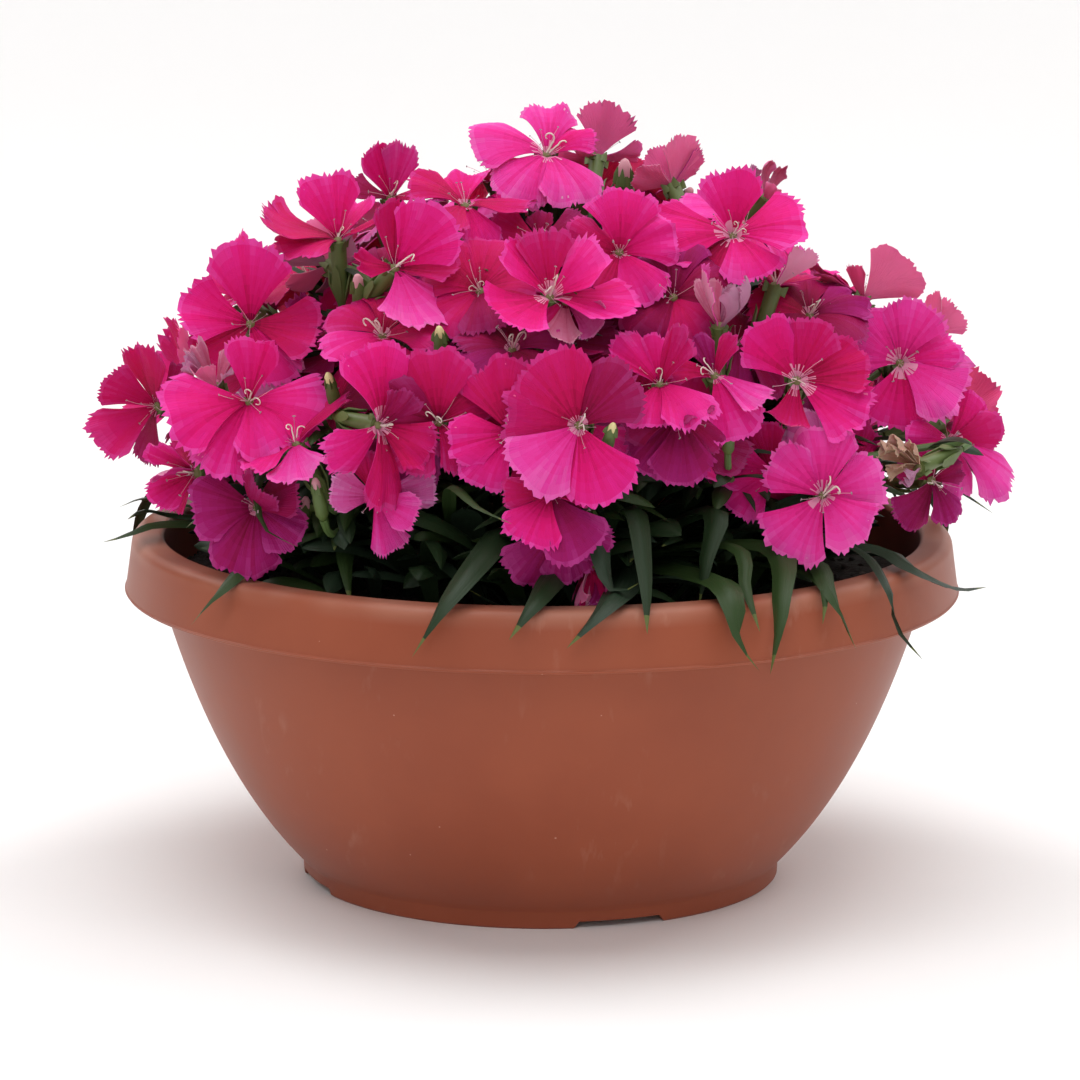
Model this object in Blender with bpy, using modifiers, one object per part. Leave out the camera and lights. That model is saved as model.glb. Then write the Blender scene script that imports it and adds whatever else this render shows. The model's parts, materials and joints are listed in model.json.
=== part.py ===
# Potted dianthus: a dome of toothed pink blooms on jointed stems, with strap leaves that hang
# over the rim of a wide terracotta-coloured bowl. Lengths are millimetres and angles degrees, and
# a mesh is made in metres. +Z is up, and the front faces -Y.
import itertools
import math
import random

import bmesh
import bpy
from mathutils import Matrix, Vector
from mathutils.bvhtree import BVHTree

MM = 0.001
GAP = 0.35  # air between neighbouring solids
SEED = 23

# Pot
POT_STEPS = 36
RIM_RADIUS = 115.0  # lower edge of the skirt that hangs from the rim
RIM_TOP = 96.5
RIM_FACE = 9.0  # width of the flat top of the rim
SKIRT_DROP = 16.0
SKIRT_LEAN = 1.7  # how far the skirt leans in towards its top
RIM_ROUND = 3.0
WALL = 2.0
BODY_NECK = 105.5  # outer radius of the bowl where it goes up under the rim
BELLY_RADIUS, BELLY_HEIGHT = 91.4, 29.6  # pull point of the bowl's curved side
FOOT_RADIUS = 66.5
FOOT_HEIGHT = 4.9
FOOT_WALL = 3.2
FLOOR_UNDERSIDE = 3.0
NOTCH_WIDTH, NOTCH_HEIGHT = 25.8, 2.0
NOTCH_TURN = 19.0  # from the front, then every quarter turn
DRAIN_RADIUS, DRAIN_RING = 4.0, 42.0

# Growing medium and the woody crown of the plant
COMPOST_TOP = 86.0
COMPOST_STEPS = 24
SETTLING = 1.0  # the compost's further clearance from the bowl's wall
CROWN_FOOT_RADIUS = 15.0
CROWN_KNOB = Vector((0, 0, 95))
CROWN_KNOB_RADIUS = 11.0
CROWN_STEPS = 14

# Flower dome: the throats of the blooms lie on this ellipsoid
DOME_CENTRE = Vector((1.5, 0, 106))
DOME_RADII = Vector((112, 106, 98))
BOUGH_REACH = 0.45  # share of the dome's radius
STEM_REACH = 0.7
BOUGH_RADII = (2.3, 1.5)
STEM_RADII = (1.5, 1.2)
STALK_RADII = (1.2, 1.1)
STALK_ROOTS = 7  # places along a mass's stem that its stalks start from
ROOT_SPREAD = 0.8  # share of a stem, from its tip, that bears them

# Bloom
BLOOM_RADIUS = 21.0
PETALS = 5
PETAL_HALF_ANGLE = 29.0
PETAL_SHOULDER = 0.88  # radius of the margin's corners, as a share of the bloom's
NOTCH_SHARE = 0.46  # radius where two petals part
CALYX_LENGTH = 18.0
CALYX_RADII = (2.7, 2.1)
CALYX_SIDES = 3
THROAT_DEPTH, COLLAR_DEPTH = 1.2, 3.7
STALK_JOIN = 21.0  # from the throat to where the calyx has narrowed to its stalk

# Direction of each bloom mass seen from the dome's centre: turn from the front, and height
BLOOM_MASSES = {"top": (0, 90)}
BLOOM_MASSES |= {
    "upper_" + side: (turn, 50) for side, turn in zip(("front", "right", "back", "left"), range(0, 360, 90))
}
BLOOM_MASSES |= {
    "low_" + side: (turn, 12)
    for side, turn in zip(
        ("front", "front_right", "right", "back_right", "back", "back_left", "left", "front_left"),
        range(0, 360, 45),
    )
}

# The blooms seen from the front, the foremost first: throat (x, y, z), turn and tip of the face,
# spin of the petals, radius, and cup, the angle that the petals rise by.
SEEN_BLOOMS = {
    "right_edge": (110.5, -35, 128, 42, 15, 10, 21, 8),
    "left_edge": (-109, -22, 134, -43, 8, 20, 21, 18),
    "crest": (1, -20, 204, 20, 58, 12, 24, -13),
    "centre": (9, -103, 143, -5, 12, -33, 25, 0),
    "left_open": (-77, -69, 144, -5, 42, 0, 23, -7),
    "right_low": (73, -80, 121, 0, 12, 2, 21, 5),
    "right_open": (96, -33, 149, 5, 25, 8, 20.5, 8),
    "upper_right": (50, -49, 186, 0, 50, -3, 24, 8),
    "front_high": (2, -79, 174, 19, 60, 30, 23.5, 19),
    "left_high": (-78, -46, 161, -5, 35, 0, 22, 15),
    "upper_left": (-38, -65, 179, 35, 38, -3, 22, 14),
    "left_centre": (-41, -94, 141, 40, 0, -15, 24, -12),
    "right_mid": (66, -75, 151, 0, 30, 5, 21, 14),
    "right_centre": (30, -90, 153, -5, 60, 36, 20, 8),
    "left_peak": (-55, -34, 184, -15, 70, 10, 22, 21),
    "front_peak": (-21, -40, 193, 0, 73, 0, 21, 0),
    "left_low": (-78, -72, 117, -5, 42, -23, 20.5, -25),
    "right_nodding": (35, -91, 144, 0, 40, 0, 20, -50),
    "centre_under": (2, -104, 126, 0, 40, 0, 19, -35),
    "centre_behind": (-8, -97, 140, -15, 15, -22, 23, 0),
    "centre_left": (-27, -91, 142, -5, 20, 5, 20.5, 5),
    "left_pale": (-43, -91, 122, 0, 0, -28, 18, -10),
    "left_low_side": (-94, -48, 120, -100, -10, 0, 20, 15),
    "left_edgewise": (-65, -78, 135, -60, 60, 20, 19, 0),
    "right_edgewise": (44, -82, 154, -20, 55, 0, 18, 10),
    "right_closing": (46, -72, 166, 0, 75, 0, 16, 60),
    "right_shoulder": (62, -45, 173, -150, 55, 10, 17, 30),
    "right_high_side": (87, -25, 167, -150, 50, 0, 20, 35),
    "peak_side": (34, -12, 195, -150, 45, 0, 17, 30),
    "peak_spent": (62, 5, 190, 60, 50, 0, 11, 50),
    "crest_back": (15, 18, 199, 170, 45, 30, 19, 20),
    "left_peak_back": (-39, -5, 189, 165, 40, 20, 20, 30),
    "left_peak_spent": (-59, -20, 173, -140, 10, 0, 14, 20),
    "right_high_back": (107, -8, 154, 120, 30, 0, 19, 10),
    "front_high_behind": (20, -59, 182, 5, 25, 0, 20, 5),
    "right_edge_low": (105, -46, 119, 35, 10, 30, 19, -25),
    "centre_low": (5, -98, 117, 0, 10, 20, 19, -25),
    "right_low_behind": (58, -81, 124, -20, 10, 0, 18, 0),
    "left_tucked": (-42, -69, 162, -5, 60, 20, 19, 5),
    "front_shade": (-17, -65, 173, -20, 45, 0, 18, 5),
    "front_tucked": (-8, -79, 160, 0, 60, 0, 17, 10),
    "right_shade": (34, -63, 171, 0, 35, 0, 18, 5),
    "right_tucked": (71, -42, 164, 10, 60, 0, 19, 5),
}
DOME_SPOTS = 300  # evenly spread places that the other blooms are chosen from
BLOOM_SPACING = 25.0
DOME_SHARE = 0.94  # how far down the dome, as a share of its height, the spots reach
DOME_DEPTHS = (0.94, 1.03)  # share of the dome's radius that a spot's throat lies at
TURN_SPREAD = 22  # how far a bloom looks aside of the dome's own direction
TIP_SHARE, TIP_SPREAD = 0.8, (-12, 22)  # how far up a bloom looks, from the dome's own direction
CUP_SPREAD = 22
SIZE_SPREAD = (0.88, 1.05)
SIZES = (1, 0.93, 0.86)  # a bloom without room is tried at these sizes and lifts
LIFTS = (0, -2.5, -5, 2.5, -7.5, -10, 5, -13)  # along the dome's radius
GOLDEN_ANGLE = 137.508

# Leaves on the flower stalks
STALK_LEAF_LENGTHS, STALK_LEAF_WIDTHS = (26, 38), (4.5, 6)
STALK_LEAF_DROOP = 6.0

# Leaves that hang over the rim: turn, radius and height of the tip, turn of the root, width
SEEN_LEAVES = [
    (-76, 122, 97, -66, 8.5),
    (-85, 117, 103, -78, 4.5),
    (-50, 118, 84.5, -42, 6.5),
    (-16, 119.5, 85.5, -11, 8),
    (-5, 118.5, 88, -1, 7.5),
    (4, 118.5, 88, 8, 8),
    (13, 119, 91, 16, 6.5),
    (31, 119.5, 79, 31, 8.5),
    (22, 118, 98, 24, 6.5),
    (39, 120, 79, 39, 7.5),
    (47, 119.5, 82, 48, 6.5),
    (57, 121, 75, 58, 5),
    (74, 124, 86, 70, 7.5),
]
BACK_LEAVES, BACK_TURNS = 19, (88, 272)  # the same at the sides and the back
LEAF_MASSES = 8
LEAF_MASS_TURN = 22.5  # the first leaf mass, half-way between two low bloom masses
SHOOT_RADII = (1.6, 1.0)
SHOOT_TIP_RADIUS, SHOOT_TIP_HEIGHT = 62.0, 101.0
LEAF_RISE_RADIUS, LEAF_RISE_HEIGHT = 84.0, 106.0  # pull points of a leaf that passes over the rim
LEAF_ARCH_RADIUS, LEAF_ARCH_HEIGHT = 113.0, 108.5
INNER_RISE_RADIUS, INNER_RISE_HEIGHT = 70.0, 104.0  # and of one that ends inside it
INNER_ARCH_RADIUS, INNER_ARCH_HEIGHT = 86.0, 112.0
LEAF_THICKNESS = 1.3
LEAF_ROOTS = 7  # places along a shoot that its leaves start from
LEAF_SWINGS = (0, 4, -4, 8, -8)  # a leaf without room is tried at these turns and lifts
LEAF_LIFTS = (0, 3, 6, -3, 9)
INNER_LEAVES = 5  # for each leaf mass, inside the rim

LOOKS = {
    "terracotta_plastic": ((0.36, 0.115, 0.06), 0.5),
    "compost": ((0.02, 0.014, 0.01), 0.95),
    "woody_stem": ((0.13, 0.1, 0.05), 0.8),
    "green_stem": ((0.1, 0.2, 0.05), 0.6),
    "pink_bloom": ((0.8, 0.03, 0.25), 0.55),
    "dark_leaf": ((0.03, 0.09, 0.03), 0.5),
}


def facing(turn, tip):
    """The direction that faces the front at turn 0, the right at turn 90, and up at tip 90."""
    turn, tip = math.radians(turn), math.radians(tip)
    return Vector((math.sin(turn) * math.cos(tip), -math.cos(turn) * math.cos(tip), math.sin(tip)))


def around(turn, radius, height):
    """A place by its turn round the pot's axis."""
    return facing(turn, 0) * radius + Vector((0, 0, height))


def bezier(points, share):
    """A point of the Bezier curve through the first and last of these points."""
    while len(points) > 1:
        points = [a.lerp(b, share) for a, b in zip(points, points[1:])]
    return points[0]


def frame_towards(normal):
    """Right, up and outward axes of something that faces along normal."""
    upright = Vector((0, 0, 1)) if abs(normal.z) < 0.97 else Vector((0, 1, 0))
    up = (upright - normal * upright.dot(normal)).normalized()
    return Matrix((up.cross(normal), up, normal)).transposed()


def bridge(first, last):
    """Triangles between two rings of point numbers, which may differ in their count."""
    faces = []
    i = j = 0
    while i < len(first) or j < len(last):
        if j == len(last) or (i < len(first) and (i + 1) * len(last) <= (j + 1) * len(first)):
            faces.append((first[i % len(first)], first[(i + 1) % len(first)], last[j % len(last)]))
            i += 1
        else:
            faces.append((first[i % len(first)], last[(j + 1) % len(last)], last[j % len(last)]))
            j += 1
    return [face for face in faces if len(set(face)) == 3]


def loft(rings):
    """One closed solid through rings of points, as points and faces. A ring of one point is a tip."""
    points, numbers = [], []
    for ring in rings:
        numbers.append(range(len(points), len(points) + len(ring)))
        points.extend(ring)
    faces = [tuple(ring) for ring in (numbers[0], numbers[-1]) if len(ring) > 2]
    for first, last in zip(numbers, numbers[1:]):
        faces.extend(bridge(first, last))
    return points, faces


def ring(centre, axes, radius, sides, start=0.0):
    """Points round a centre, clockwise to someone who looks at it against its outward axis."""
    angles = [math.radians(start + 360 * k / sides) for k in range(sides)]
    return [centre + axes @ Vector((radius * math.sin(a), radius * math.cos(a), 0)) for a in angles]


def twig_rings(path, radii, sides, axes, start=0.0):
    """Rings from the twig's tip, whose axes are given, down to its root. The path starts at the root."""
    rings = []
    for i in reversed(range(len(path))):
        along = (path[min(i + 1, len(path) - 1)] - path[max(i - 1, 0)]).normalized()
        axes = axes.col[2].rotation_difference(along).to_matrix() @ axes
        radius = radii[0] + (radii[1] - radii[0]) * i / (len(path) - 1)
        rings.append(ring(path[i], axes, radius, sides, start))
    return rings


def tube(path, radii, sides=4):
    """A tapering twig along the path."""
    return loft(twig_rings(path, radii, sides, frame_towards((path[-1] - path[-2]).normalized())))


def blade(path, width):
    """A strap leaf along the path: a folded section that narrows to its root and its tip."""
    rings = []
    for i, spot in enumerate(path[:-1]):
        along = (path[i + 1] - path[max(i - 1, 0)]).normalized()
        side = along.cross(Vector((0, 0, 1)))
        side = side.normalized() if side.length > 0.05 else Vector((1, 0, 0))
        over = side.cross(along)
        share = i / (len(path) - 1)
        half = width / 2 * (0.2 + 0.8 * math.sin(math.pi * (share + 0.02) ** 0.7))
        rings.append([spot - side * half, spot + side * half, spot - over * LEAF_THICKNESS])
    rings.append([path[-1]])
    return loft(rings)


def flower(place, face, spin, radius, cup, path):
    """A five-petalled bloom, its calyx and its stalk, which the path leads up to the calyx, as one solid.

    The petals are thick in the throat and thin at the margin.
    """
    axes = frame_towards(face)
    rise = math.tan(math.radians(cup))

    def spot(angle, reach):
        angle = math.radians(angle)
        return place + axes @ Vector((reach * math.sin(angle), reach * math.cos(angle), reach * rise))

    margin = []
    start = spin - 180 / PETALS
    for petal in range(PETALS):
        middle = spin + petal * 360 / PETALS
        margin.append(spot(middle - 180 / PETALS, radius * NOTCH_SHARE))
        for lean, share in ((-1, PETAL_SHOULDER), (0, 1), (1, PETAL_SHOULDER)):
            reach = radius * share * math.cos(math.radians(cup))
            margin.append(spot(middle + lean * PETAL_HALF_ANGLE, reach))
    collar = ring(place - face * COLLAR_DEPTH, axes, CALYX_RADII[0], CALYX_SIDES, start)
    calyx_end = ring(place - face * CALYX_LENGTH, axes, CALYX_RADII[1], CALYX_SIDES, start)
    stalk = twig_rings(path, STALK_RADII, CALYX_SIDES, axes, start)
    return loft([[place - face * THROAT_DEPTH], margin, collar, calyx_end, *stalk])


class Thicket:
    """What has grown so far, so that one mass keeps clear of the limbs and of the other masses.

    Each thing's far part is what the rest of its own mass keeps clear of too.
    """

    def __init__(self):
        self.wholes, self.far_parts = [], []

    def add(self, owner, whole, far=None):
        for rows, (points, faces) in ((self.wholes, whole), (self.far_parts, far or whole)):
            centre = sum(points, Vector()) / len(points)
            reach = max((point - centre).length for point in points)
            rows.append((owner, BVHTree.FromPolygons(points, faces), centre, reach))

    def is_clear(self, owner, whole, far):
        """Whether the whole keeps the gap to all other masses, and its far part to those of its own."""
        others = [row[1:] for row in self.wholes if row[0] != owner]
        own = [row[1:] for row in self.far_parts if row[0] == owner]
        return keeps_gap(whole, others) and (far is None or keeps_gap(far, own))


def keeps_gap(solid, rows):
    """Whether the solid, moved by the gap each way, touches none of the rows."""
    points, faces = solid
    centre = sum(points, Vector()) / len(points)
    reach = max((point - centre).length for point in points) + GAP
    near = [tree for tree, place, size in rows if (place - centre).length < reach + size]
    shifts = [Vector()] + [axis * way for axis in Matrix.Identity(3) for way in (GAP, -GAP)]
    for shift in shifts if near else []:
        moved = BVHTree.FromPolygons([point + shift for point in points], faces)
        if any(tree.overlap(moved) for tree in near):
            return False
    return True


def clear_scene():
    for thing in list(bpy.data.objects):
        bpy.data.objects.remove(thing)


def make_materials():
    materials = {}
    for name, (colour, roughness) in LOOKS.items():
        material = bpy.data.materials.new(name)
        material.use_nodes = True
        shader = material.node_tree.nodes["Principled BSDF"]
        shader.inputs["Base Color"].default_value = (*colour, 1)
        shader.inputs["Roughness"].default_value = roughness
        shader.inputs["Metallic"].default_value = 0
        materials[name] = material
    return materials


def add_object(name, data, collection, material=None):
    thing = bpy.data.objects.new(name, data)
    collection.objects.link(thing)
    if material:
        data.materials.append(material)
    return thing


def mesh_of(name, solid):
    """A mesh in metres from points in millimetres, its faces pointing out."""
    points, faces = solid
    mesh = bpy.data.meshes.new(name)
    mesh.from_pydata([point * MM for point in points], [], faces)
    shape = bmesh.new()
    shape.from_mesh(mesh)
    bmesh.ops.recalc_face_normals(shape, faces=shape.faces)
    shape.to_mesh(mesh)
    shape.free()
    return mesh


def evaluated_mesh(thing):
    bpy.context.view_layer.update()
    return bpy.data.meshes.new_from_object(thing.evaluated_get(bpy.context.evaluated_depsgraph_get()))


def solid_of(thing):
    """An object's points in millimetres and its faces, to keep the plant clear of it."""
    mesh = evaluated_mesh(thing)
    solid = ([vertex.co / MM for vertex in mesh.vertices], [tuple(face.vertices) for face in mesh.polygons])
    bpy.data.meshes.remove(mesh)
    return solid


def turned(name, profile, steps, collection, material):
    """A solid of revolution. The profile starts and ends on the axis, and runs down its outer side."""
    mesh = bpy.data.meshes.new(name)
    points = [(radius * MM, 0, height * MM) for radius, height in profile]
    mesh.from_pydata(points, [(i, i + 1) for i in range(len(points) - 1)], [])
    thing = add_object(name, mesh, collection, material)
    screw = thing.modifiers.new("turn", "SCREW")
    screw.steps = screw.render_steps = steps
    screw.use_merge_vertices = True
    screw.merge_threshold = 0.00001
    screw.use_smooth_shade = True
    return thing


def bowl_side(share, inset=0.0):
    """The bowl's curved side from the foot, share 0, to the rim, share 1."""
    foot = Vector((FOOT_RADIUS, FOOT_HEIGHT))
    belly = Vector((BELLY_RADIUS, BELLY_HEIGHT))
    neck = Vector((BODY_NECK, RIM_TOP - SKIRT_DROP))
    slope = (belly - foot).lerp(neck - belly, share).normalized()
    return bezier([foot, belly, neck], share) + Vector((-slope.y, slope.x)) * inset


def arc(centre, radius, start, end, steps):
    """Points on a quarter or so of a circle in the profile."""
    angles = [math.radians(start + (end - start) * i / steps) for i in range(steps + 1)]
    return [(centre[0] + radius * math.cos(a), centre[1] + radius * math.sin(a)) for a in angles]


def make_pot(collection, cutters, material):
    """Bowl with a hollow rolled rim, a foot ring with four notches, and drain holes in its floor."""
    skirt_top = RIM_RADIUS - SKIRT_LEAN
    rim_inside = skirt_top - RIM_FACE
    floor = FLOOR_UNDERSIDE + WALL
    shares = [i / 4 for i in range(5)]
    profile = [(0, floor), (FOOT_RADIUS - 8, floor)]
    profile += [tuple(bowl_side(share, WALL)) for share in shares[1:]]
    profile += arc((rim_inside + 1.5, RIM_TOP - 1.5), 1.5, 180, 90, 2)
    profile += arc((skirt_top - RIM_ROUND, RIM_TOP - RIM_ROUND), RIM_ROUND, 90, 0, 2)
    profile += [(RIM_RADIUS, RIM_TOP - SKIRT_DROP + 0.4), (RIM_RADIUS - 0.4, RIM_TOP - SKIRT_DROP)]
    profile += [(RIM_RADIUS - WALL, RIM_TOP - SKIRT_DROP), (skirt_top - WALL, RIM_TOP - WALL - 1)]
    profile += [(BODY_NECK + 0.8, RIM_TOP - WALL - 1)]
    profile += [tuple(bowl_side(share)) for share in reversed(shares)]
    profile += [(FOOT_RADIUS - 0.3, FOOT_HEIGHT - 0.4), (FOOT_RADIUS - 0.3, 0)]
    inside = FOOT_RADIUS - FOOT_WALL
    profile += [(inside, 0), (inside, FLOOR_UNDERSIDE), (0, FLOOR_UNDERSIDE)]
    pot = turned("pot", profile, POT_STEPS, collection, material)
    for quarter in range(4):
        turn = NOTCH_TURN + quarter * 90
        bpy.ops.mesh.primitive_cube_add(size=1)
        notch = bpy.context.object
        notch.data.transform(Matrix.Diagonal((NOTCH_WIDTH * MM, 12 * MM, 2 * NOTCH_HEIGHT * MM, 1)))
        notch.location = around(turn, FOOT_RADIUS - 1, 0) * MM
        notch.rotation_euler.z = math.radians(turn)
        bpy.ops.mesh.primitive_cylinder_add(vertices=10, radius=DRAIN_RADIUS * MM, depth=12 * MM)
        drain = bpy.context.object
        drain.location = around(turn + 45, DRAIN_RING, floor) * MM
        for kind, cutter in (("notch", notch), ("drain", drain)):
            cutter.name = f"{kind}_cutter_{quarter + 1}"
            cutter.users_collection[0].objects.unlink(cutter)
            cutters.objects.link(cutter)
            cutter.hide_render = True
            cutter.display_type = "WIRE"
    cut = pot.modifiers.new("notches", "BOOLEAN")
    cut.operation = "DIFFERENCE"
    cut.operand_type = "COLLECTION"
    cut.collection = cutters
    return pot


def make_compost(collection, material):
    """The growing medium fills the bowl, clear of its floor and wall."""
    floor = FLOOR_UNDERSIDE + WALL + GAP
    wall = [tuple(bowl_side(i / 4, WALL + GAP + SETTLING)) for i in (4, 3, 2, 1)]
    profile = [(0, COMPOST_TOP), (wall[0][0] - 12, COMPOST_TOP), *wall, (FOOT_RADIUS - 9, floor), (0, floor)]
    return turned("compost", profile, COMPOST_STEPS, collection, material)


def make_crown(collection, material):
    """The short woody stem inside the plant, flared at its foot, with a knob that the stems rise from."""
    foot = COMPOST_TOP + GAP
    knob = [
        (CROWN_KNOB_RADIUS * math.sin(a), CROWN_KNOB.z + CROWN_KNOB_RADIUS * math.cos(a))
        for a in (math.radians(20 * i) for i in range(6))
    ]
    profile = knob + [(CROWN_FOOT_RADIUS - 3, foot + 2), (CROWN_FOOT_RADIUS, foot), (0, foot)]
    return turned("crown_stem", profile, CROWN_STEPS, collection, material)


def limb(name, path, radii, collection, material):
    """One tapering stem, round, with closed ends."""
    curve = bpy.data.curves.new(name, "CURVE")
    curve.dimensions = "3D"
    curve.bevel_depth = MM
    curve.bevel_resolution = 2
    curve.use_fill_caps = True
    spline = curve.splines.new("POLY")
    spline.points.add(len(path) - 1)
    for i, spot in enumerate(path):
        spline.points[i].co = (*(spot * MM), 1)
        spline.points[i].radius = radii[0] + (radii[1] - radii[0]) * i / (len(path) - 1)
    return add_object(name, curve, collection, material)


def on_dome(direction, share):
    """The place at this share of the dome's radius."""
    stretched = Vector(d * r for d, r in zip(direction, DOME_RADII))
    return DOME_CENTRE + stretched * share


def bough_path(direction):
    """From the crown's knob to the place where the bough enters its mass."""
    tip = on_dome(direction, BOUGH_REACH)
    away = (tip - CROWN_KNOB).normalized()
    root = CROWN_KNOB + away * (CROWN_KNOB_RADIUS + GAP)
    pull = (tip - root).length / 3
    ends = [root, root + away * pull, tip - direction * pull, tip]
    return [bezier(ends, i / 3) for i in range(4)]


def dome_blooms(rng):
    """All the blooms: the seen ones, then evenly spread ones wherever the dome is still open."""
    blooms = [
        (Vector(row[:3]), facing(row[3], row[4]), row[5], row[6], row[7]) for row in SEEN_BLOOMS.values()
    ]
    for i in range(DOME_SPOTS):
        height = math.degrees(math.asin(1 - (i + 0.5) / DOME_SPOTS * DOME_SHARE))
        turn = i * GOLDEN_ANGLE
        place = on_dome(facing(turn, height), rng.uniform(*DOME_DEPTHS))
        aside = rng.uniform(-TURN_SPREAD, TURN_SPREAD)
        face = facing(turn + aside, height * TIP_SHARE + rng.uniform(*TIP_SPREAD))
        spin = rng.uniform(0, 360 / PETALS)
        shape = (spin, BLOOM_RADIUS * rng.uniform(*SIZE_SPREAD), rng.uniform(-CUP_SPREAD, CUP_SPREAD))
        if all((place - other[0]).length > BLOOM_SPACING for other in blooms):
            blooms.append((place, face, *shape))
    return blooms


def stalk_path(stem, share, tip, face):
    """From a place along the mass's stem to the stalk's tip, which points along face."""
    root = stem[0].lerp(stem[1], share)
    pull = (tip - root).length / 3
    off = ((tip - root).normalized() * 2 + (stem[1] - stem[0]).normalized()).normalized()
    ends = [root, root + off * pull, tip - face * pull, tip]
    return [bezier(ends, share) for share in (0, 0.35, 0.7, 1)]


def grow_bloom(thicket, owner, stem, row, count):
    """The bloom with its stalk, its far part and its path, or nothing.

    It is moved or made smaller until it is clear of all other blooms, or else of all but its own
    mass's stalks, or else of the other masses.
    """
    place, face, spin, radius, cup = row
    away = (place - DOME_CENTRE).normalized()
    for care, size, lift in itertools.product((2, 1, 0), SIZES, LIFTS):
        here = place + away * lift
        tip = here - face * STALK_JOIN
        shape = (here, face, spin, radius * size, cup)
        head = flower(*shape, [tip - face, tip])
        if not thicket.is_clear(owner, head, head if care else None):
            continue
        for turn in range(STALK_ROOTS):
            share = 1 - ROOT_SPREAD * ((count + turn) % STALK_ROOTS) / STALK_ROOTS
            path = stalk_path(stem, share, tip, face)
            whole, far = flower(*shape, path), flower(*shape, path[1:])
            if thicket.is_clear(owner, whole, (None, head, far)[care]):
                return whole, far, path
    return None


def stalk_leaf(path, rng):
    """A leaf from the middle of a stalk, outwards."""
    root = path[1].lerp(path[2], rng.uniform(0, 1))
    out = (root - DOME_CENTRE).normalized()
    side = out.cross(Vector((0, 0, 1))) * rng.uniform(-1.2, 1.2)
    lean = (out + side + Vector((0, 0, rng.uniform(-0.3, 0.5)))).normalized()
    length = rng.uniform(*STALK_LEAF_LENGTHS)
    ends = [root, root + lean * length * 0.6, root + lean * length - Vector((0, 0, STALK_LEAF_DROOP))]
    leaf = [bezier(ends, share) for share in (0, 0.3, 0.65, 1)]
    width = rng.uniform(*STALK_LEAF_WIDTHS)
    return blade(leaf, width), blade(leaf[1:], width)


def grow_bloom_masses(thicket, blooms, rng):
    """The solids of each bloom mass: its stem, its blooms on their stalks, and a leaf on most stalks."""
    masses, stalks, left_out = {}, [], []
    for side, (turn, height) in BLOOM_MASSES.items():
        direction = facing(turn, height)
        stem = [on_dome(direction, share) for share in (BOUGH_REACH, STEM_REACH)]
        stem[0] += (stem[1] - stem[0]).normalized() * GAP
        masses[side] = (direction, stem, [tube(stem, STEM_RADII)])
        thicket.add(side, masses[side][2][0])
    for row in blooms:
        outward = Vector(d / r for d, r in zip(row[0] - DOME_CENTRE, DOME_RADII)).normalized()
        owner = max(masses, key=lambda side: masses[side][0].dot(outward))
        _, stem, solids = masses[owner]
        grown = grow_bloom(thicket, owner, stem, row, len(solids))
        if grown:
            whole, far, path = grown
            thicket.add(owner, whole, far)
            solids.append(whole)
            stalks.append((owner, path))
        else:
            left_out.append(tuple(round(value) for value in row[0]))
    print(f"blooms: {len(stalks)} grown, no room at {left_out}")
    for owner, path in stalks:
        whole, far = stalk_leaf(path, rng)
        if thicket.is_clear(owner, whole, far):
            thicket.add(owner, whole, far)
            masses[owner][2].append(whole)
    return {side: solids for side, (_, _, solids) in masses.items()}


def leaf_rows(rng):
    """Tip and root of every basal leaf: the seen ones, others over the rim, and short ones inside it."""
    rows = list(SEEN_LEAVES)
    first, last = BACK_TURNS
    for i in range(BACK_LEAVES):
        turn = first + i * (last - first) / (BACK_LEAVES - 1) + rng.uniform(-4, 4)
        tip = (turn, rng.uniform(117, 120.5), rng.uniform(78, 95))
        rows.append((*tip, turn + rng.uniform(-9, 9), rng.uniform(6, 9.5)))
    for i in range(LEAF_MASSES * INNER_LEAVES):
        turn = (i + 0.5) * 360 / (LEAF_MASSES * INNER_LEAVES) + rng.uniform(-3, 3)
        tip = (turn, rng.uniform(82, 101), rng.uniform(101, 112))
        rows.append((*tip, turn + rng.uniform(-10, 10), rng.uniform(5, 8)))
    return rows


def leaf_path(root, lift, row):
    """From the shoot, past the leaf's root turn, over the rim if it reaches so far, and down to its tip."""
    tip_turn, tip_radius, tip_height, root_turn, _ = row
    tip = around(tip_turn, tip_radius, tip_height)
    if tip_radius > RIM_RADIUS:
        rise = around(root_turn, LEAF_RISE_RADIUS, LEAF_RISE_HEIGHT + lift)
        over = around((tip_turn * 2 + root_turn) / 3, LEAF_ARCH_RADIUS, LEAF_ARCH_HEIGHT + lift)
        shares = (0, 0.28, 0.53, 0.77, 1)
    else:
        rise = around(root_turn, INNER_RISE_RADIUS, INNER_RISE_HEIGHT + lift)
        over = around((tip_turn + root_turn) / 2, INNER_ARCH_RADIUS, INNER_ARCH_HEIGHT + lift)
        shares = (0, 0.35, 0.7, 1)
    return [bezier([root, rise, over, over.lerp(tip, 0.5), tip], share) for share in shares]


def grow_leaf(thicket, owner, shoot, count, row):
    """A leaf from a free place on the shoot and its far part, or nothing."""
    choices = itertools.product((1, 0), LEAF_SWINGS, LEAF_LIFTS, range(LEAF_ROOTS))
    for care, swing, lift, turn in choices:
        share = 1 - ROOT_SPREAD * ((count + turn) % LEAF_ROOTS) / LEAF_ROOTS
        turned_row = (row[0] + swing, *row[1:3], row[3] + swing, row[4])
        path = leaf_path(shoot[0].lerp(shoot[1], share), lift, turned_row)
        whole, far = blade(path, row[4]), blade(path[1:], row[4])
        if thicket.is_clear(owner, whole, (None, far)[care]):
            return whole, far
    return None


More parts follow.
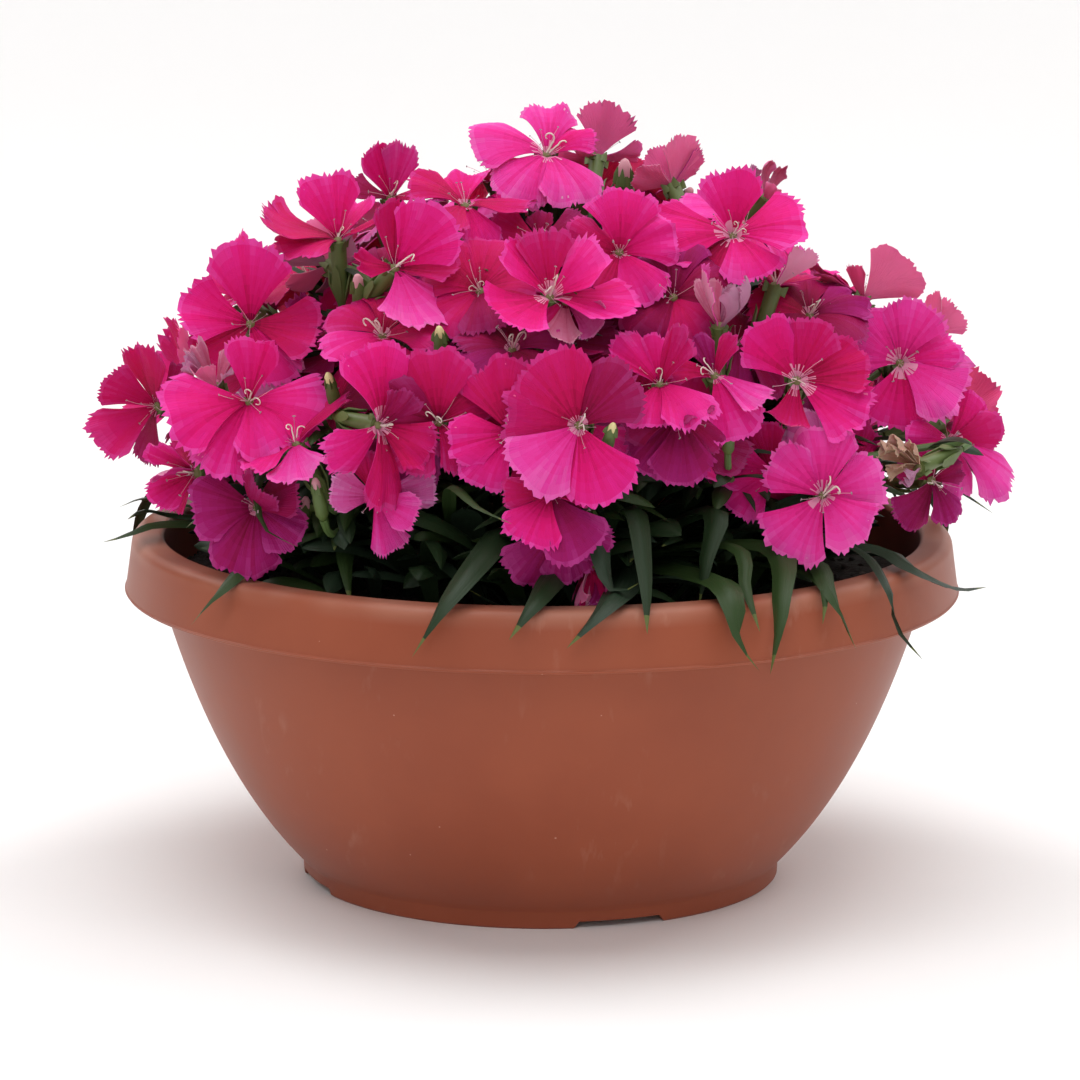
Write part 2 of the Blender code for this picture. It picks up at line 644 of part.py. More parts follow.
def grow_leaf_masses(thicket, rng):
    """The solids of each leaf mass: a low shoot from the crown, and its leaves."""
    masses, skipped = [], []
    for k in range(LEAF_MASSES):
        turn = LEAF_MASS_TURN + k * 360 / LEAF_MASSES
        tip = around(turn, SHOOT_TIP_RADIUS, SHOOT_TIP_HEIGHT)
        away = (around(turn, 30, 93) - CROWN_KNOB).normalized()
        root = CROWN_KNOB + away * (CROWN_KNOB_RADIUS + GAP)
        shoot = tube([root, root + away * 16, tip], SHOOT_RADII)
        masses.append((turn, (root + away * 16, tip), [shoot]))
        thicket.add(k, shoot)
    for row in leaf_rows(rng):
        turns = [(row[3] - turn + 180) % 360 - 180 for turn, _, _ in masses]
        k = min(range(LEAF_MASSES), key=lambda n: abs(turns[n]))
        solids = masses[k][2]
        grown = grow_leaf(thicket, k, masses[k][1], len(solids), row)
        if grown:
            thicket.add(k, *grown)
            solids.append(grown[0])
        else:
            skipped.append(tuple(round(value) for value in row))
    print(f"basal leaves: {sum(len(solids) - 1 for _, _, solids in masses)} grown, skipped {skipped}")
    return [solids for _, _, solids in masses]


def outer_skin(mesh):
    """Leaves only the largest closed shell, so that scraps are dropped and sealed hollows are filled."""
    shape = bmesh.new()
    shape.from_mesh(mesh)
    bmesh.ops.triangulate(shape, faces=shape.faces)
    shells, left = [], set(shape.faces)
    while left:
        shell, front = set(), [left.pop()]
        while front:
            face = front.pop()
            shell.add(face)
            for edge in face.edges:
                near = [other for other in edge.link_faces if other in left]
                left.difference_update(near)
                front.extend(near)
        volume = sum(f.verts[0].co.dot(f.verts[1].co.cross(f.verts[2].co)) for f in shell) / 6
        shells.append((volume, shell))
    shells.sort(key=lambda shell: shell[0], reverse=True)
    scraps = [face for _, shell in shells[1:] for face in shell]
    bmesh.ops.delete(shape, geom=scraps, context="FACES")
    loose = [edge for edge in shape.edges if not edge.link_faces]
    bmesh.ops.delete(shape, geom=loose, context="EDGES")
    bmesh.ops.delete(shape, geom=[vertex for vertex in shape.verts if not vertex.link_edges], context="VERTS")
    sound = all(len(edge.link_faces) == 2 for edge in shape.edges)
    shape.to_mesh(mesh)
    shape.free()
    return sound, len(shells) - 1


def fuse(name, solids, collection, material):
    """Joins the solids of one mass by a Boolean union into one closed mesh."""
    parts = bpy.data.collections.new(name + "_parts")
    bpy.context.scene.collection.children.link(parts)
    base = add_object(name + "_base", mesh_of(name + "_base", solids[0]), bpy.context.scene.collection)
    others = [add_object(name + "_part", mesh_of(name + "_part", solid), parts) for solid in solids[1:]]
    for solver in ("EXACT", "MANIFOLD"):
        union = base.modifiers.new("union", "BOOLEAN")
        union.operation = "UNION"
        union.operand_type = "COLLECTION"
        union.collection = parts
        union.solver = solver
        mesh = evaluated_mesh(base)
        base.modifiers.remove(union)
        sound, dropped = outer_skin(mesh)
        if sound:
            break
    print(f"{name}: {len(solids)} solids, {len(mesh.polygons)} triangles, {solver}, {dropped} scraps dropped")
    for thing in [base, *others]:
        bpy.data.objects.remove(thing)
    bpy.data.collections.remove(parts)
    mesh.name = name
    return add_object(name, mesh, collection, material)


def main():
    clear_scene()
    rng = random.Random(SEED)
    materials = make_materials()
    plant = bpy.data.collections.new("potted_dianthus")
    cutters = bpy.data.collections.new("cutters")
    for collection in (plant, cutters):
        bpy.context.scene.collection.children.link(collection)
    pot = make_pot(plant, cutters, materials["terracotta_plastic"])
    compost = make_compost(plant, materials["compost"])
    crown = make_crown(plant, materials["woody_stem"])
    thicket = Thicket()
    for thing in (pot, compost, crown):
        thicket.add("pot", solid_of(thing))
    for side, (turn, height) in BLOOM_MASSES.items():
        path = bough_path(facing(turn, height))
        bough = limb("stem_" + side, path, BOUGH_RADII, plant, materials["green_stem"])
        thicket.add("bough", solid_of(bough))
    for side, solids in grow_bloom_masses(thicket, dome_blooms(rng), rng).items():
        fuse("blooms_" + side, solids, plant, materials["pink_bloom"])
    for k, solids in enumerate(grow_leaf_masses(thicket, rng)):
        fuse(f"leaves_{k + 1}", solids, plant, materials["dark_leaf"])


main()
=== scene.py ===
# Potted dianthus: the looks of the plant and its bowl, in the studio view of the photograph.
# Dictionaries hold lengths in millimetres and angles in degrees. Meshes are made in metres.
import json
import math
import random

import bmesh
import bpy
import numpy as np
from mathutils import Matrix, Vector, noise
from mathutils.bvhtree import BVHTree

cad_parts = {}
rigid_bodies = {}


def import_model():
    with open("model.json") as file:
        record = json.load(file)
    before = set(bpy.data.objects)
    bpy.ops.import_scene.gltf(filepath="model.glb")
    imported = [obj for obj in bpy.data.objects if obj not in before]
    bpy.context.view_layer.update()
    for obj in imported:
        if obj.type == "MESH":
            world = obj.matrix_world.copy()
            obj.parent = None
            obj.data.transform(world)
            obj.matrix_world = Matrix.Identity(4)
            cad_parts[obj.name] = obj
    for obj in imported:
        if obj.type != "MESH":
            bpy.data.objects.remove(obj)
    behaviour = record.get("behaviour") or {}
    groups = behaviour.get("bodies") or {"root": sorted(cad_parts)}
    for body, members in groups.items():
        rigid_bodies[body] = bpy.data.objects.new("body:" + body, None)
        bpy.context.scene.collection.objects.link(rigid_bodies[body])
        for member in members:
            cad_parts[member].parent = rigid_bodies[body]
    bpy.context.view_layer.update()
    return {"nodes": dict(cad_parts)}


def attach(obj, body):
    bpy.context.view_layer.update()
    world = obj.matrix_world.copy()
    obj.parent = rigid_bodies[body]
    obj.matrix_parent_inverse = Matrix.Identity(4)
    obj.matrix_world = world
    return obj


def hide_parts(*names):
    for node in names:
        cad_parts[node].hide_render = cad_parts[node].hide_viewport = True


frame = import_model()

nodeNames = sorted(frame["nodes"])
mm = 0.001
goldenAngle = 137.508
wholeTurn = 6.28  # radians, for random spins
petalCount = 5


def nodesCalled(start):
    return [name for name in nodeNames if name.startswith(start)]


def clamped(value):
    return min(1.0, max(0.0, value))


def facing(turn, tip):  # turn 0 faces the front, 90 the right, and tip 90 faces up
    turn, tip = math.radians(turn), math.radians(tip)
    return Vector((math.sin(turn) * math.cos(tip), -math.cos(turn) * math.cos(tip), math.sin(tip)))


def around(turn, radius, height):
    return facing(turn, 0) * radius + Vector((0, 0, height))


def bezier(points, share):
    while len(points) > 1:
        points = [a.lerp(b, share) for a, b in zip(points, points[1:])]
    return points[0]


def frameTowards(normal):  # right, up and outward axes of something that faces along normal
    upright = Vector((0, 0, 1)) if abs(normal.z) < 0.97 else Vector((0, 1, 0))
    up = (upright - normal * upright.dot(normal)).normalized()
    return Matrix((up.cross(normal), up, normal)).transposed()


def addObject(name, data):
    thing = bpy.data.objects.new(name, data)
    bpy.context.scene.collection.objects.link(thing)
    return thing


def plainMesh(thing):  # the mesh that its modifiers make
    return bpy.data.meshes.new_from_object(thing.evaluated_get(bpy.context.evaluated_depsgraph_get()))


# Node helpers, used for shader trees and for geometry trees


def addNode(tree, kind, links=None, **settings):
    node = tree.nodes.new(kind)
    for name, value in settings.items():
        setattr(node, name, value)
    for socket, source in (links or {}).items():
        if isinstance(source, bpy.types.NodeSocket):
            tree.links.new(source, node.inputs[socket])
        else:
            node.inputs[socket].default_value = source
    return node


def newTree(name, kind, inputs, outputs):
    tree = bpy.data.node_groups.new(name, kind)
    for way, rows in (("INPUT", inputs), ("OUTPUT", outputs)):
        for label, socketKind, *value in rows:
            socket = tree.interface.new_socket(label, in_out=way, socket_type="NodeSocket" + socketKind)
            if value:
                socket.default_value = value[0]
    return tree, addNode(tree, "NodeGroupInput").outputs, addNode(tree, "NodeGroupOutput")


def product(tree, first, second):
    return addNode(tree, "ShaderNodeMath", {0: first, 1: second}, operation="MULTIPLY").outputs[0]


# Camera, floor and light

shot = {
    "lens": 166.67,
    "sensor": 36,
    "aim": (-0.6, 0, 93.27),
    "distance": 1384.4,
    "pitch": 10.95,
    "roll": 0.281,
}
studio = {  # places and sizes in metres, power in watts
    "halfWidth": 5.0,
    "front": -3.5,
    "bend": 2.0,
    "bendRadius": 1.6,
    "bendSteps": 16,
    "height": 3.0,
    "paper": (0.93, 0.915, 0.91),
    "skyTone": (1, 1, 0.985, 1),
    "seenSky": 0.965,
    "skyLight": 0.34,
    "lights": {  # place, size, aim, power
        "overhead": ((0.0, -0.1, 1.35), (1.3, 0.9), (0, 0, 0.1), 11.5),
        "frontBox": ((0.0, -1.15, 1.15), (1.0, 0.6), (0, 0, 0.1), 4.4),
        "lowFront": ((0.0, -1.5, 0.35), (1.2, 0.4), (0, 0, 0.06), 1.8),
        "leftBox": ((-1.3, -0.5, 0.6), (0.7, 1.0), (0, 0, 0.08), 1.5),
        "rightBox": ((1.3, -0.5, 0.6), (0.7, 1.0), (0, 0, 0.08), 1.5),
        "backdropLeft": ((-1.8, 1.6, 2.2), (1.6, 1.6), (-0.4, 2.2, 0), 35.0),
        "backdropRight": ((1.8, 1.6, 2.2), (1.6, 1.6), (0.4, 2.2, 0), 35.0),
    },
}


def makeCamera():
    pitch = math.radians(shot["pitch"])
    back = Vector((0, -math.cos(pitch), math.sin(pitch)))
    place = (Vector(shot["aim"]) + back * shot["distance"]) * mm
    data = bpy.data.cameras.new("photoCamera")
    data.lens = shot["lens"]
    data.sensor_width = shot["sensor"]
    data.clip_end = 50
    camera = addObject("photoCamera", data)
    tilt = Matrix.Rotation(math.radians(90) - pitch, 4, "X")
    roll = Matrix.Rotation(math.radians(shot["roll"]), 4, "Z")
    camera.matrix_world = Matrix.Translation(place) @ tilt @ roll
    bpy.context.scene.camera = camera


def makeSoftBox(name, place, size, aim, power):
    data = bpy.data.lights.new(name, "AREA")
    data.shape = "RECTANGLE"
    data.size, data.size_y = size
    data.energy = power
    towards = (Vector(aim) - Vector(place)).normalized().to_track_quat("-Z", "Y")
    addObject(name, data).matrix_world = Matrix.Translation(place) @ towards.to_matrix().to_4x4()


def makeBackdrop():  # a paper sweep: flat under the pot, then curved up behind it
    profile = [(studio["front"], 0), (studio["bend"], 0)]
    radius, steps = studio["bendRadius"], studio["bendSteps"]
    for i in range(1, steps + 1):
        a = math.radians(90 * i / steps)
        profile.append((studio["bend"] + radius * math.sin(a), radius * (1 - math.cos(a))))
    profile.append((studio["bend"] + radius, studio["height"]))
    points = [(x, y, z) for y, z in profile for x in (-studio["halfWidth"], studio["halfWidth"])]
    faces = [(2 * i, 2 * i + 1, 2 * i + 3, 2 * i + 2) for i in range(len(profile) - 1)]
    mesh = bpy.data.meshes.new("studioPaper")
    mesh.from_pydata(points, [], faces)
    mesh.shade_smooth()
    mesh.materials.append(newFinish("whitePaper", studio["paper"], Roughness=0.9, Specular_IOR_Level=0.1)[0])
    sweep = addObject("studioPaper", mesh)


def makeStudio():
    scene = bpy.context.scene
    scene.view_settings.view_transform = "Standard"
    world = bpy.data.worlds.new("studioSky")
    world.use_nodes = True
    scene.world = world
    tree = world.node_tree
    tree.nodes.clear()
    tones = {"Color": studio["skyTone"], "Strength": studio["seenSky"]}
    seen = addNode(tree, "ShaderNodeBackground", tones).outputs[0]
    glow = addNode(tree, "ShaderNodeBackground", {"Strength": studio["skyLight"]}).outputs[0]
    isSeen = addNode(tree, "ShaderNodeLightPath").outputs["Is Camera Ray"]
    mix = addNode(tree, "ShaderNodeMixShader", {0: isSeen, 1: glow, 2: seen})
    addNode(tree, "ShaderNodeOutputWorld", {"Surface": mix.outputs[0]})
    makeBackdrop()
    for name, row in studio["lights"].items():
        makeSoftBox(name, *row)


# Shader groups: each puts out only masks and heights


def makeGrainGroup():  # fine grain for bumps, and broad blotches for colour
    tree, given, out = newTree(
        "surfaceGrain",
        "ShaderNodeTree",
        [("Vector", "Vector"), ("Grain Scale", "Float", 900.0), ("Blotch Scale", "Float", 25.0)],
        [("Grain", "Float"), ("Blotch", "Float")],
    )
    fine = addNode(tree, "ShaderNodeTexNoise", {"Vector": given[0], "Scale": given[1], "Detail": 3.0})
    broad = addNode(tree, "ShaderNodeTexNoise", {"Vector": given[0], "Scale": given[2], "Detail": 4.0})
    tree.links.new(fine.outputs[0], out.inputs["Grain"])
    tree.links.new(broad.outputs[0], out.inputs["Blotch"])
    return tree


def makeVeinGroup():  # fine ribs along a petal or a leaf, from its own map
    tree, given, out = newTree(
        "plantVeins",
        "ShaderNodeTree",
        [("Map", "Vector"), ("Across", "Float", 30.0), ("Along", "Float", 2.0)],
        [("Ribs", "Float")],
    )
    scale = addNode(tree, "ShaderNodeCombineXYZ", {"X": given[1], "Y": given[2], "Z": 1.0})
    stretch = addNode(tree, "ShaderNodeVectorMath", {0: given[0], 1: scale.outputs[0]}, operation="MULTIPLY")
    ribs = addNode(tree, "ShaderNodeTexNoise", {"Vector": stretch.outputs[0], "Scale": 1.0, "Detail": 3.0})
    tree.links.new(ribs.outputs[0], out.inputs["Ribs"])
    return tree


def makeSpeckGroup():  # scattered small specks, such as dust or grit
    tree, given, out = newTree(
        "strewnSpecks",
        "ShaderNodeTree",
        [("Vector", "Vector"), ("Scale", "Float", 120.0), ("Size", "Float", 0.16), ("Share", "Float", 0.2)],
        [("Specks", "Float")],
    )
    cells = addNode(tree, "ShaderNodeTexVoronoi", {"Vector": given[0], "Scale": given[1]})
    near = addNode(tree, "ShaderNodeMath", {0: cells.outputs["Distance"], 1: given[2]}, operation="LESS_THAN")
    cell = addNode(tree, "ShaderNodeSeparateColor", {0: cells.outputs["Color"]})
    some = addNode(tree, "ShaderNodeMath", {0: cell.outputs[0], 1: given[3]}, operation="LESS_THAN")
    tree.links.new(product(tree, near.outputs[0], some.outputs[0]), out.inputs["Specks"])
    return tree


grainGroup = makeGrainGroup()
veinGroup = makeVeinGroup()
speckGroup = makeSpeckGroup()


def newFinish(name, colour, **values):  # the material, its tree and its Principled shader
    material = bpy.data.materials.new(name)
    material.use_nodes = True
    shader = material.node_tree.nodes["Principled BSDF"]
    shader.inputs["Base Color"].default_value = (*colour, 1)
    for socket, value in values.items():
        shader.inputs[socket.replace("_", " ")].default_value = value
    return material, material.node_tree, shader


def useGroup(tree, group, links):
    return addNode(tree, "ShaderNodeGroup", links, node_tree=group)


def spreadValue(tree, source, low, high, start=0.3, end=0.7):  # a mask turned into a range of values
    limits = {"Value": source, "From Min": start, "From Max": end, "To Min": low, "To Max": high}
    return addNode(tree, "ShaderNodeMapRange", limits).outputs[0]


def mixColours(tree, mask, first, second):
    tones = [tone if isinstance(tone, bpy.types.NodeSocket) else (*tone, 1) for tone in (first, second)]
    links = {0: mask, 6: tones[0], 7: tones[1]}
    return addNode(tree, "ShaderNodeMix", links, data_type="RGBA").outputs[2]


def addBump(tree, shader, height, strength, depth):
    bump = addNode(tree, "ShaderNodeBump", {"Height": height, "Strength": strength, "Distance": depth * mm})
    tree.links.new(bump.outputs[0], shader.inputs["Normal"])


def ribbedFinish(name, colour, mapName, across, along, rough, strength, **values):
    material, tree, shader = newFinish(name, colour, **values)
    own = addNode(tree, "ShaderNodeUVMap", uv_map=mapName)
    links = {"Map": own.outputs[0], "Across": across, "Along": along}
    ribs = useGroup(tree, veinGroup, links).outputs[0]
    tree.links.new(spreadValue(tree, ribs, *rough), shader.inputs["Roughness"])
    addBump(tree, shader, ribs, strength, 0.4)
    return material


def objectGrain(tree, grain, blotch):  # the piece's own coordinates, and grain and blotches on them
    coords = addNode(tree, "ShaderNodeTexCoord").outputs["Object"]
    grains = useGroup(tree, grainGroup, {"Vector": coords, "Grain Scale": grain, "Blotch Scale": blotch})
    return coords, grains.outputs["Grain"], grains.outputs["Blotch"]


def roughen(tree, shader, grain, blotch, rough, strength, depth):  # uneven gloss and a fine bump
    tree.links.new(spreadValue(tree, blotch, *rough), shader.inputs["Roughness"])
    addBump(tree, shader, grain, strength, depth)


def grainyFinish(name, colour, scale, rough, strength, depth=0.3):
    material, tree, shader = newFinish(name, colour)
    _, grain, blotch = objectGrain(tree, scale, scale / 8)
    roughen(tree, shader, grain, blotch, rough, strength, depth)
    return material


# Piece helpers


def addPiece(name, mesh, finishes, nodes=()):
    piece = addObject(name, mesh)
    for finish in finishes:
        mesh.materials.append(finish)
    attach(piece, "root")
    if nodes:
        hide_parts(*nodes)
    triangles = sum(len(face.vertices) - 2 for face in mesh.polygons)
    print(f"{name}: {triangles} triangles")
    return piece


def pointOutwards(mesh):
    shape = bmesh.new()
    shape.from_mesh(mesh)
    bmesh.ops.recalc_face_normals(shape, faces=shape.faces)
    shape.to_mesh(mesh)
    shape.free()


def smooth(mesh, sharpAngle=40):
    mesh.shade_smooth()
    mesh.set_sharp_from_angle(angle=math.radians(sharpAngle))


def lathe(name, profile, steps, shape=None):  # turns (radius, height) points from axis to axis
    points, rings = [], []
    for row, (radius, height) in enumerate(profile):
        count = steps if radius > 0 else 1
        rings.append(range(len(points), len(points) + count))
        for k in range(count):
            spot = around(360 * k / steps, radius, height)
            points.append(shape(spot, row) if shape else spot)
    faces = []
    for first, last in zip(rings, rings[1:]):
        for k in range(steps):
            ends = (first[k % len(first)], first[(k + 1) % len(first)])
            ends += (last[(k + 1) % len(last)], last[k % len(last)])
            faces.append(tuple(dict.fromkeys(ends)))
    mesh = bpy.data.meshes.new(name)
    mesh.from_pydata([spot * mm for spot in points], [], faces)
    pointOutwards(mesh)
    return mesh


def arc(centre, radius, start, end, steps):
    angles = [math.radians(start + (end - start) * i / steps) for i in range(steps + 1)]
    return [(centre[0] + radius * math.cos(a), centre[1] + radius * math.sin(a)) for a in angles]


# Bowl

bowl = {
    "steps": 180,
    "rimRadius": 115.0,
    "rimTop": 96.5,
    "rimFace": 9.0,
    "skirtDrop": 16.0,
    "skirtLean": 1.7,
    "rimRound": 3.0,
    "lipRound": 1.5,  # inside the rim
    "edgeRound": 0.5,  # at the foot of the skirt
    "flash": 0.3,  # the thin ridge that the mould left along the skirt
    "wall": 2.0,
    "neck": 105.5,
    "belly": (91.4, 29.6),
    "footRadius": 66.5,
    "footHeight": 4.9,
    "footWall": 3.2,
    "underside": 3.0,
    "notch": (25.8, 23.0, 2.0),  # width at the floor and at its top, height
    "notchTurn": 19.0,
    "drain": (4.0, 42.0),  # radius, and distance from the axis
    "cutDepth": 12.0,
    "sideSteps": 26,
    "baseTone": (0.289, 0.066, 0.03),
    "warmTone": (0.323, 0.077, 0.035),
    # pale dust, and also the colour of the painted highlight along the rim
    "dustAndHighlightTone": (0.5, 0.24, 0.17),
    "grain": (1500.0, 22.0),  # scale of the grain and of the blotches
    "scuffTurn": (0.5, 0.6, 0.3),  # draws the scuffs out along the slope of the side
    "scuffScale": (260, 45, 90),
    "patchScale": 30.0,
    # the pale band along the rim's rounded top edge: rubbed plastic and painted highlight
    "rubAndHighlight": (5.0, 0.5),  # from this far below the rim's top to this far
    "specks": {"Scale": 260.0, "Size": 0.08, "Share": 0.06},
}


def bowlSide(share, inset=0.0):
    foot = Vector((bowl["footRadius"], bowl["footHeight"]))
    belly = Vector(bowl["belly"])
    neck = Vector((bowl["neck"], bowl["rimTop"] - bowl["skirtDrop"]))
    slope = (belly - foot).lerp(neck - belly, share).normalized()
    return bezier([foot, belly, neck], share) + Vector((-slope.y, slope.x)) * inset


def bowlProfile():
    top, drop, wall, foot = bowl["rimTop"], bowl["skirtDrop"], bowl["wall"], bowl["footRadius"]
    rim, lean, curl = bowl["rimRadius"], bowl["skirtLean"], bowl["rimRound"]
    lip, edge = bowl["lipRound"], bowl["edgeRound"]
    skirtTop = rim - lean
    inner = skirtTop - bowl["rimFace"]
    floor = bowl["underside"] + wall
    shares = [i / bowl["sideSteps"] for i in range(bowl["sideSteps"] + 1)]
    profile = [(0, floor), (foot - 12, floor)]
    profile += [tuple(bowlSide(share, wall)) for share in shares[2:]]
    profile += [(inner, top - drop + 4)]
    profile += arc((inner + lip, top - lip), lip, 180, 90, 5)
    profile += arc((skirtTop - curl, top - curl), curl, 90, 6, 9)
    profile += [(skirtTop + lean * share, top - 3 - (drop - 3.8) * share) for share in (0.3, 0.6, 0.9)]
    profile += [(rim - 0.1, top - drop + 1.1), (rim + bowl["flash"], top - drop + 0.75)]
    profile += arc((rim - edge, top - drop + edge), edge, 0, -90, 4)
    profile += [(rim - wall, top - drop), (skirtTop - wall, top - wall - 2)]
    profile += [(skirtTop - wall - 1, top - wall - 1), (bowl["neck"] + 1.8, top - wall - 1)]
    profile += [(bowl["neck"] + 0.8, top - wall - 2)]
    profile += [tuple(bowlSide(share)) for share in reversed(shares)]
    profile += [(foot - 0.1, bowl["footHeight"] - 0.4), (foot - 0.3, 0.5)]
    profile += [(foot - 0.8, 0), (foot - bowl["footWall"], 0)]
    profile += [(foot - bowl["footWall"], bowl["underside"]), (0, bowl["underside"])]
    return profile


def notchCutter(turn):  # a block whose sides lean in towards its top
    low, high, height = bowl["notch"]
    shape = bmesh.new()
    bmesh.ops.create_cube(shape, size=1)
    for vertex in shape.verts:
        width = high if vertex.co.z > 0 else 2 * low - high
        vertex.co = Vector((vertex.co.x * width, vertex.co.y * bowl["cutDepth"], vertex.co.z * 2 * height))
    spot = Matrix.Translation(around(turn, bowl["footRadius"] - 1, 0))
    shape.transform(spot @ Matrix.Rotation(math.radians(turn), 4, "Z"))
    return shape


def drainCutter(turn):
    radius, ring = bowl["drain"]
    sizes = {"segments": 32, "radius1": radius, "radius2": radius, "depth": bowl["cutDepth"]}
    shape = bmesh.new()
    bmesh.ops.create_cone(shape, cap_ends=True, **sizes)
    shape.transform(Matrix.Translation(around(turn, ring, bowl["underside"])))
    return shape


def bowlFinish():
    gloss = {"Sheen_Weight": 0.03, "Specular_IOR_Level": 0.26}
    material, tree, shader = newFinish("terracottaPlastic", bowl["baseTone"], **gloss)
    coords, grain, blotch = objectGrain(tree, *bowl["grain"])
    clouds = spreadValue(tree, blotch, 0.0, 1.0, 0.38, 0.62)
    colour = mixColours(tree, clouds, bowl["baseTone"], bowl["warmTone"])
    # Faint dry scuffs on the side, then a pale band along the rolled rim's top edge in patches, partly rubbed
    # plastic and partly a painted highlight where the rounded edge catches the light, then specks
    links = {"Vector": coords, "Rotation": bowl["scuffTurn"], "Scale": bowl["scuffScale"]}
    links = {"Vector": addNode(tree, "ShaderNodeMapping", links).outputs[0], "Scale": 1.0, "Detail": 5.0}
    scuffs = addNode(tree, "ShaderNodeTexNoise", links).outputs[0]
    links = {"Vector": coords, "Scale": bowl["patchScale"], "Detail": 2.0}
    patches = addNode(tree, "ShaderNodeTexNoise", links).outputs[0]
    fine = spreadValue(tree, scuffs, 0.0, 1.0, 0.58, 0.72)
    worn = product(tree, fine, spreadValue(tree, patches, 0.0, 0.35, 0.52, 0.66))
    height = addNode(tree, "ShaderNodeSeparateXYZ", {0: coords}).outputs[2]
    low, high = ((bowl["rimTop"] - drop) * mm for drop in bowl["rubAndHighlight"])
    edge = spreadValue(tree, height, 0.0, 1.0, low, high)
    rubAndHighlight = product(tree, edge, spreadValue(tree, patches, 0.05, 0.5, 0.4, 0.62))
    specks = useGroup(tree, speckGroup, {"Vector": coords, **bowl["specks"]}).outputs[0]
    for mask in (worn, rubAndHighlight, specks):
        colour = mixColours(tree, mask, colour, bowl["dustAndHighlightTone"])
    tree.links.new(colour, shader.inputs["Base Color"])
    roughen(tree, shader, grain, blotch, (0.4, 0.5), 0.12, 0.08)
    return material


def makeBowl():
    pot = addObject("bowlDraft", lathe("bowl", bowlProfile(), bowl["steps"]))
    cutters = bpy.data.collections.new("bowlCutters")
    for quarter in range(4):
        turn = bowl["notchTurn"] + 90 * quarter
        for shape in (notchCutter(turn), drainCutter(turn + 45)):
            mesh = bpy.data.meshes.new("cutter")
            bmesh.ops.scale(shape, vec=(mm, mm, mm), verts=shape.verts)
            shape.to_mesh(mesh)
            shape.free()
            cutters.objects.link(bpy.data.objects.new("cutter", mesh))
    bpy.context.scene.collection.children.link(cutters)
    cut = pot.modifiers.new("holes", "BOOLEAN")
    cut.operand_type = "COLLECTION"
    cut.collection = cutters
    cut.operation = "DIFFERENCE"
    finished = plainMesh(pot)
    for thing in [pot, *cutters.objects]:
        bpy.data.objects.remove(thing)
    bpy.data.collections.remove(cutters)
    finished.name = "bowl"
    smooth(finished, 35)
    addPiece("bowl", finished, [bowlFinish()], ["pot"])


# Growing medium

compost = {
    "top": 86.0,
    "gap": 1.35,
    "steps": 120,
    "rings": 30,
    "underGap": 0.35,
    "swell": 2.2,
    "lumps": 0.11,
    "sink": 1.0,
    "grain": (700.0, 160.0),
    "colour": (0.016, 0.011, 0.008),
    "crumbs": 26000.0,  # for each square metre
    "crumbSize": (0.9, 3.2),
    "crumbColour": (0.03, 0.02, 0.013),
    "grit": {"Scale": 260.0, "Size": 0.3, "Share": 0.12},
    "gritColour": (0.07, 0.05, 0.035),
    "seed": 5,
}


def makeCompost():
    wall = bowl["wall"] + compost["gap"]
    side = [tuple(bowlSide(i / 8, wall)) for i in range(8, 0, -1)]
    edge = side[0][0]
    rings = compost["rings"]
    floor = bowl["underside"] + bowl["wall"] + compost["underGap"]
    profile = [(0, compost["top"])]
    profile += [(edge * (i + 1) / (rings + 1), compost["top"]) for i in range(rings)]
    profile += [*side, (bowl["footRadius"] - 9, floor), (0, floor)]

    def crumble(spot, row):
        if row > rings:
            return spot
        lumps = noise.fractal(spot * compost["lumps"], 1.0, 2.0, 3) * compost["swell"] if row < rings else 0
        return spot + Vector((0, 0, lumps - compost["sink"]))

    mesh = lathe("compostBed", profile, compost["steps"], crumble)
    smooth(mesh, 60)
    soil, tree, shader = newFinish("darkCompost", compost["colour"])
    coords, grain, blotch = objectGrain(tree, *compost["grain"])
    grit = useGroup(tree, speckGroup, {"Vector": coords, **compost["grit"]}).outputs[0]
    shades = mixColours(tree, blotch, compost["colour"], compost["crumbColour"])
    tree.links.new(mixColours(tree, grit, shades, compost["gritColour"]), shader.inputs["Base Color"])
    roughen(tree, shader, grain, blotch, (0.85, 1.0), 0.9, 1.5)
    addPiece("compostBed", mesh, [soil], ["compost"])
    return mesh, soil


# Geometry trees: one strews or plants a small shape on points, one sweeps stems, one sweeps leaves


def named(tree, name, kind="FLOAT"):  # an attribute of the draft's points
    return addNode(tree, "GeometryNodeInputNamedAttribute", {"Name": name}, data_type=kind).outputs[0]


def isAbove(tree, value, limit):
    links = {"A": value, "B": limit}
    return addNode(tree, "FunctionNodeCompare", links, data_type="FLOAT", operation="GREATER_THAN").outputs[0]


def coated(tree, geometry, finish, chosen=True):
    links = {"Geometry": geometry, "Selection": chosen, "Material": finish}
    return addNode(tree, "GeometryNodeSetMaterial", links).outputs[0]


def realised(tree, geometry):
    return addNode(tree, "GeometryNodeRealizeInstances", {"Geometry": geometry}).outputs[0]


def curveOf(tree, mesh):
    return addNode(tree, "GeometryNodeMeshToCurve", {"Mesh": mesh}).outputs[0]


def swept(tree, path, section, size):  # the section drawn along the path, as large as the attribute says
    links = {"Curve": path, "Profile Curve": section, "Scale": named(tree, size), "Fill Caps": True}
    return realised(tree, addNode(tree, "GeometryNodeCurveToMesh", links).outputs[0])


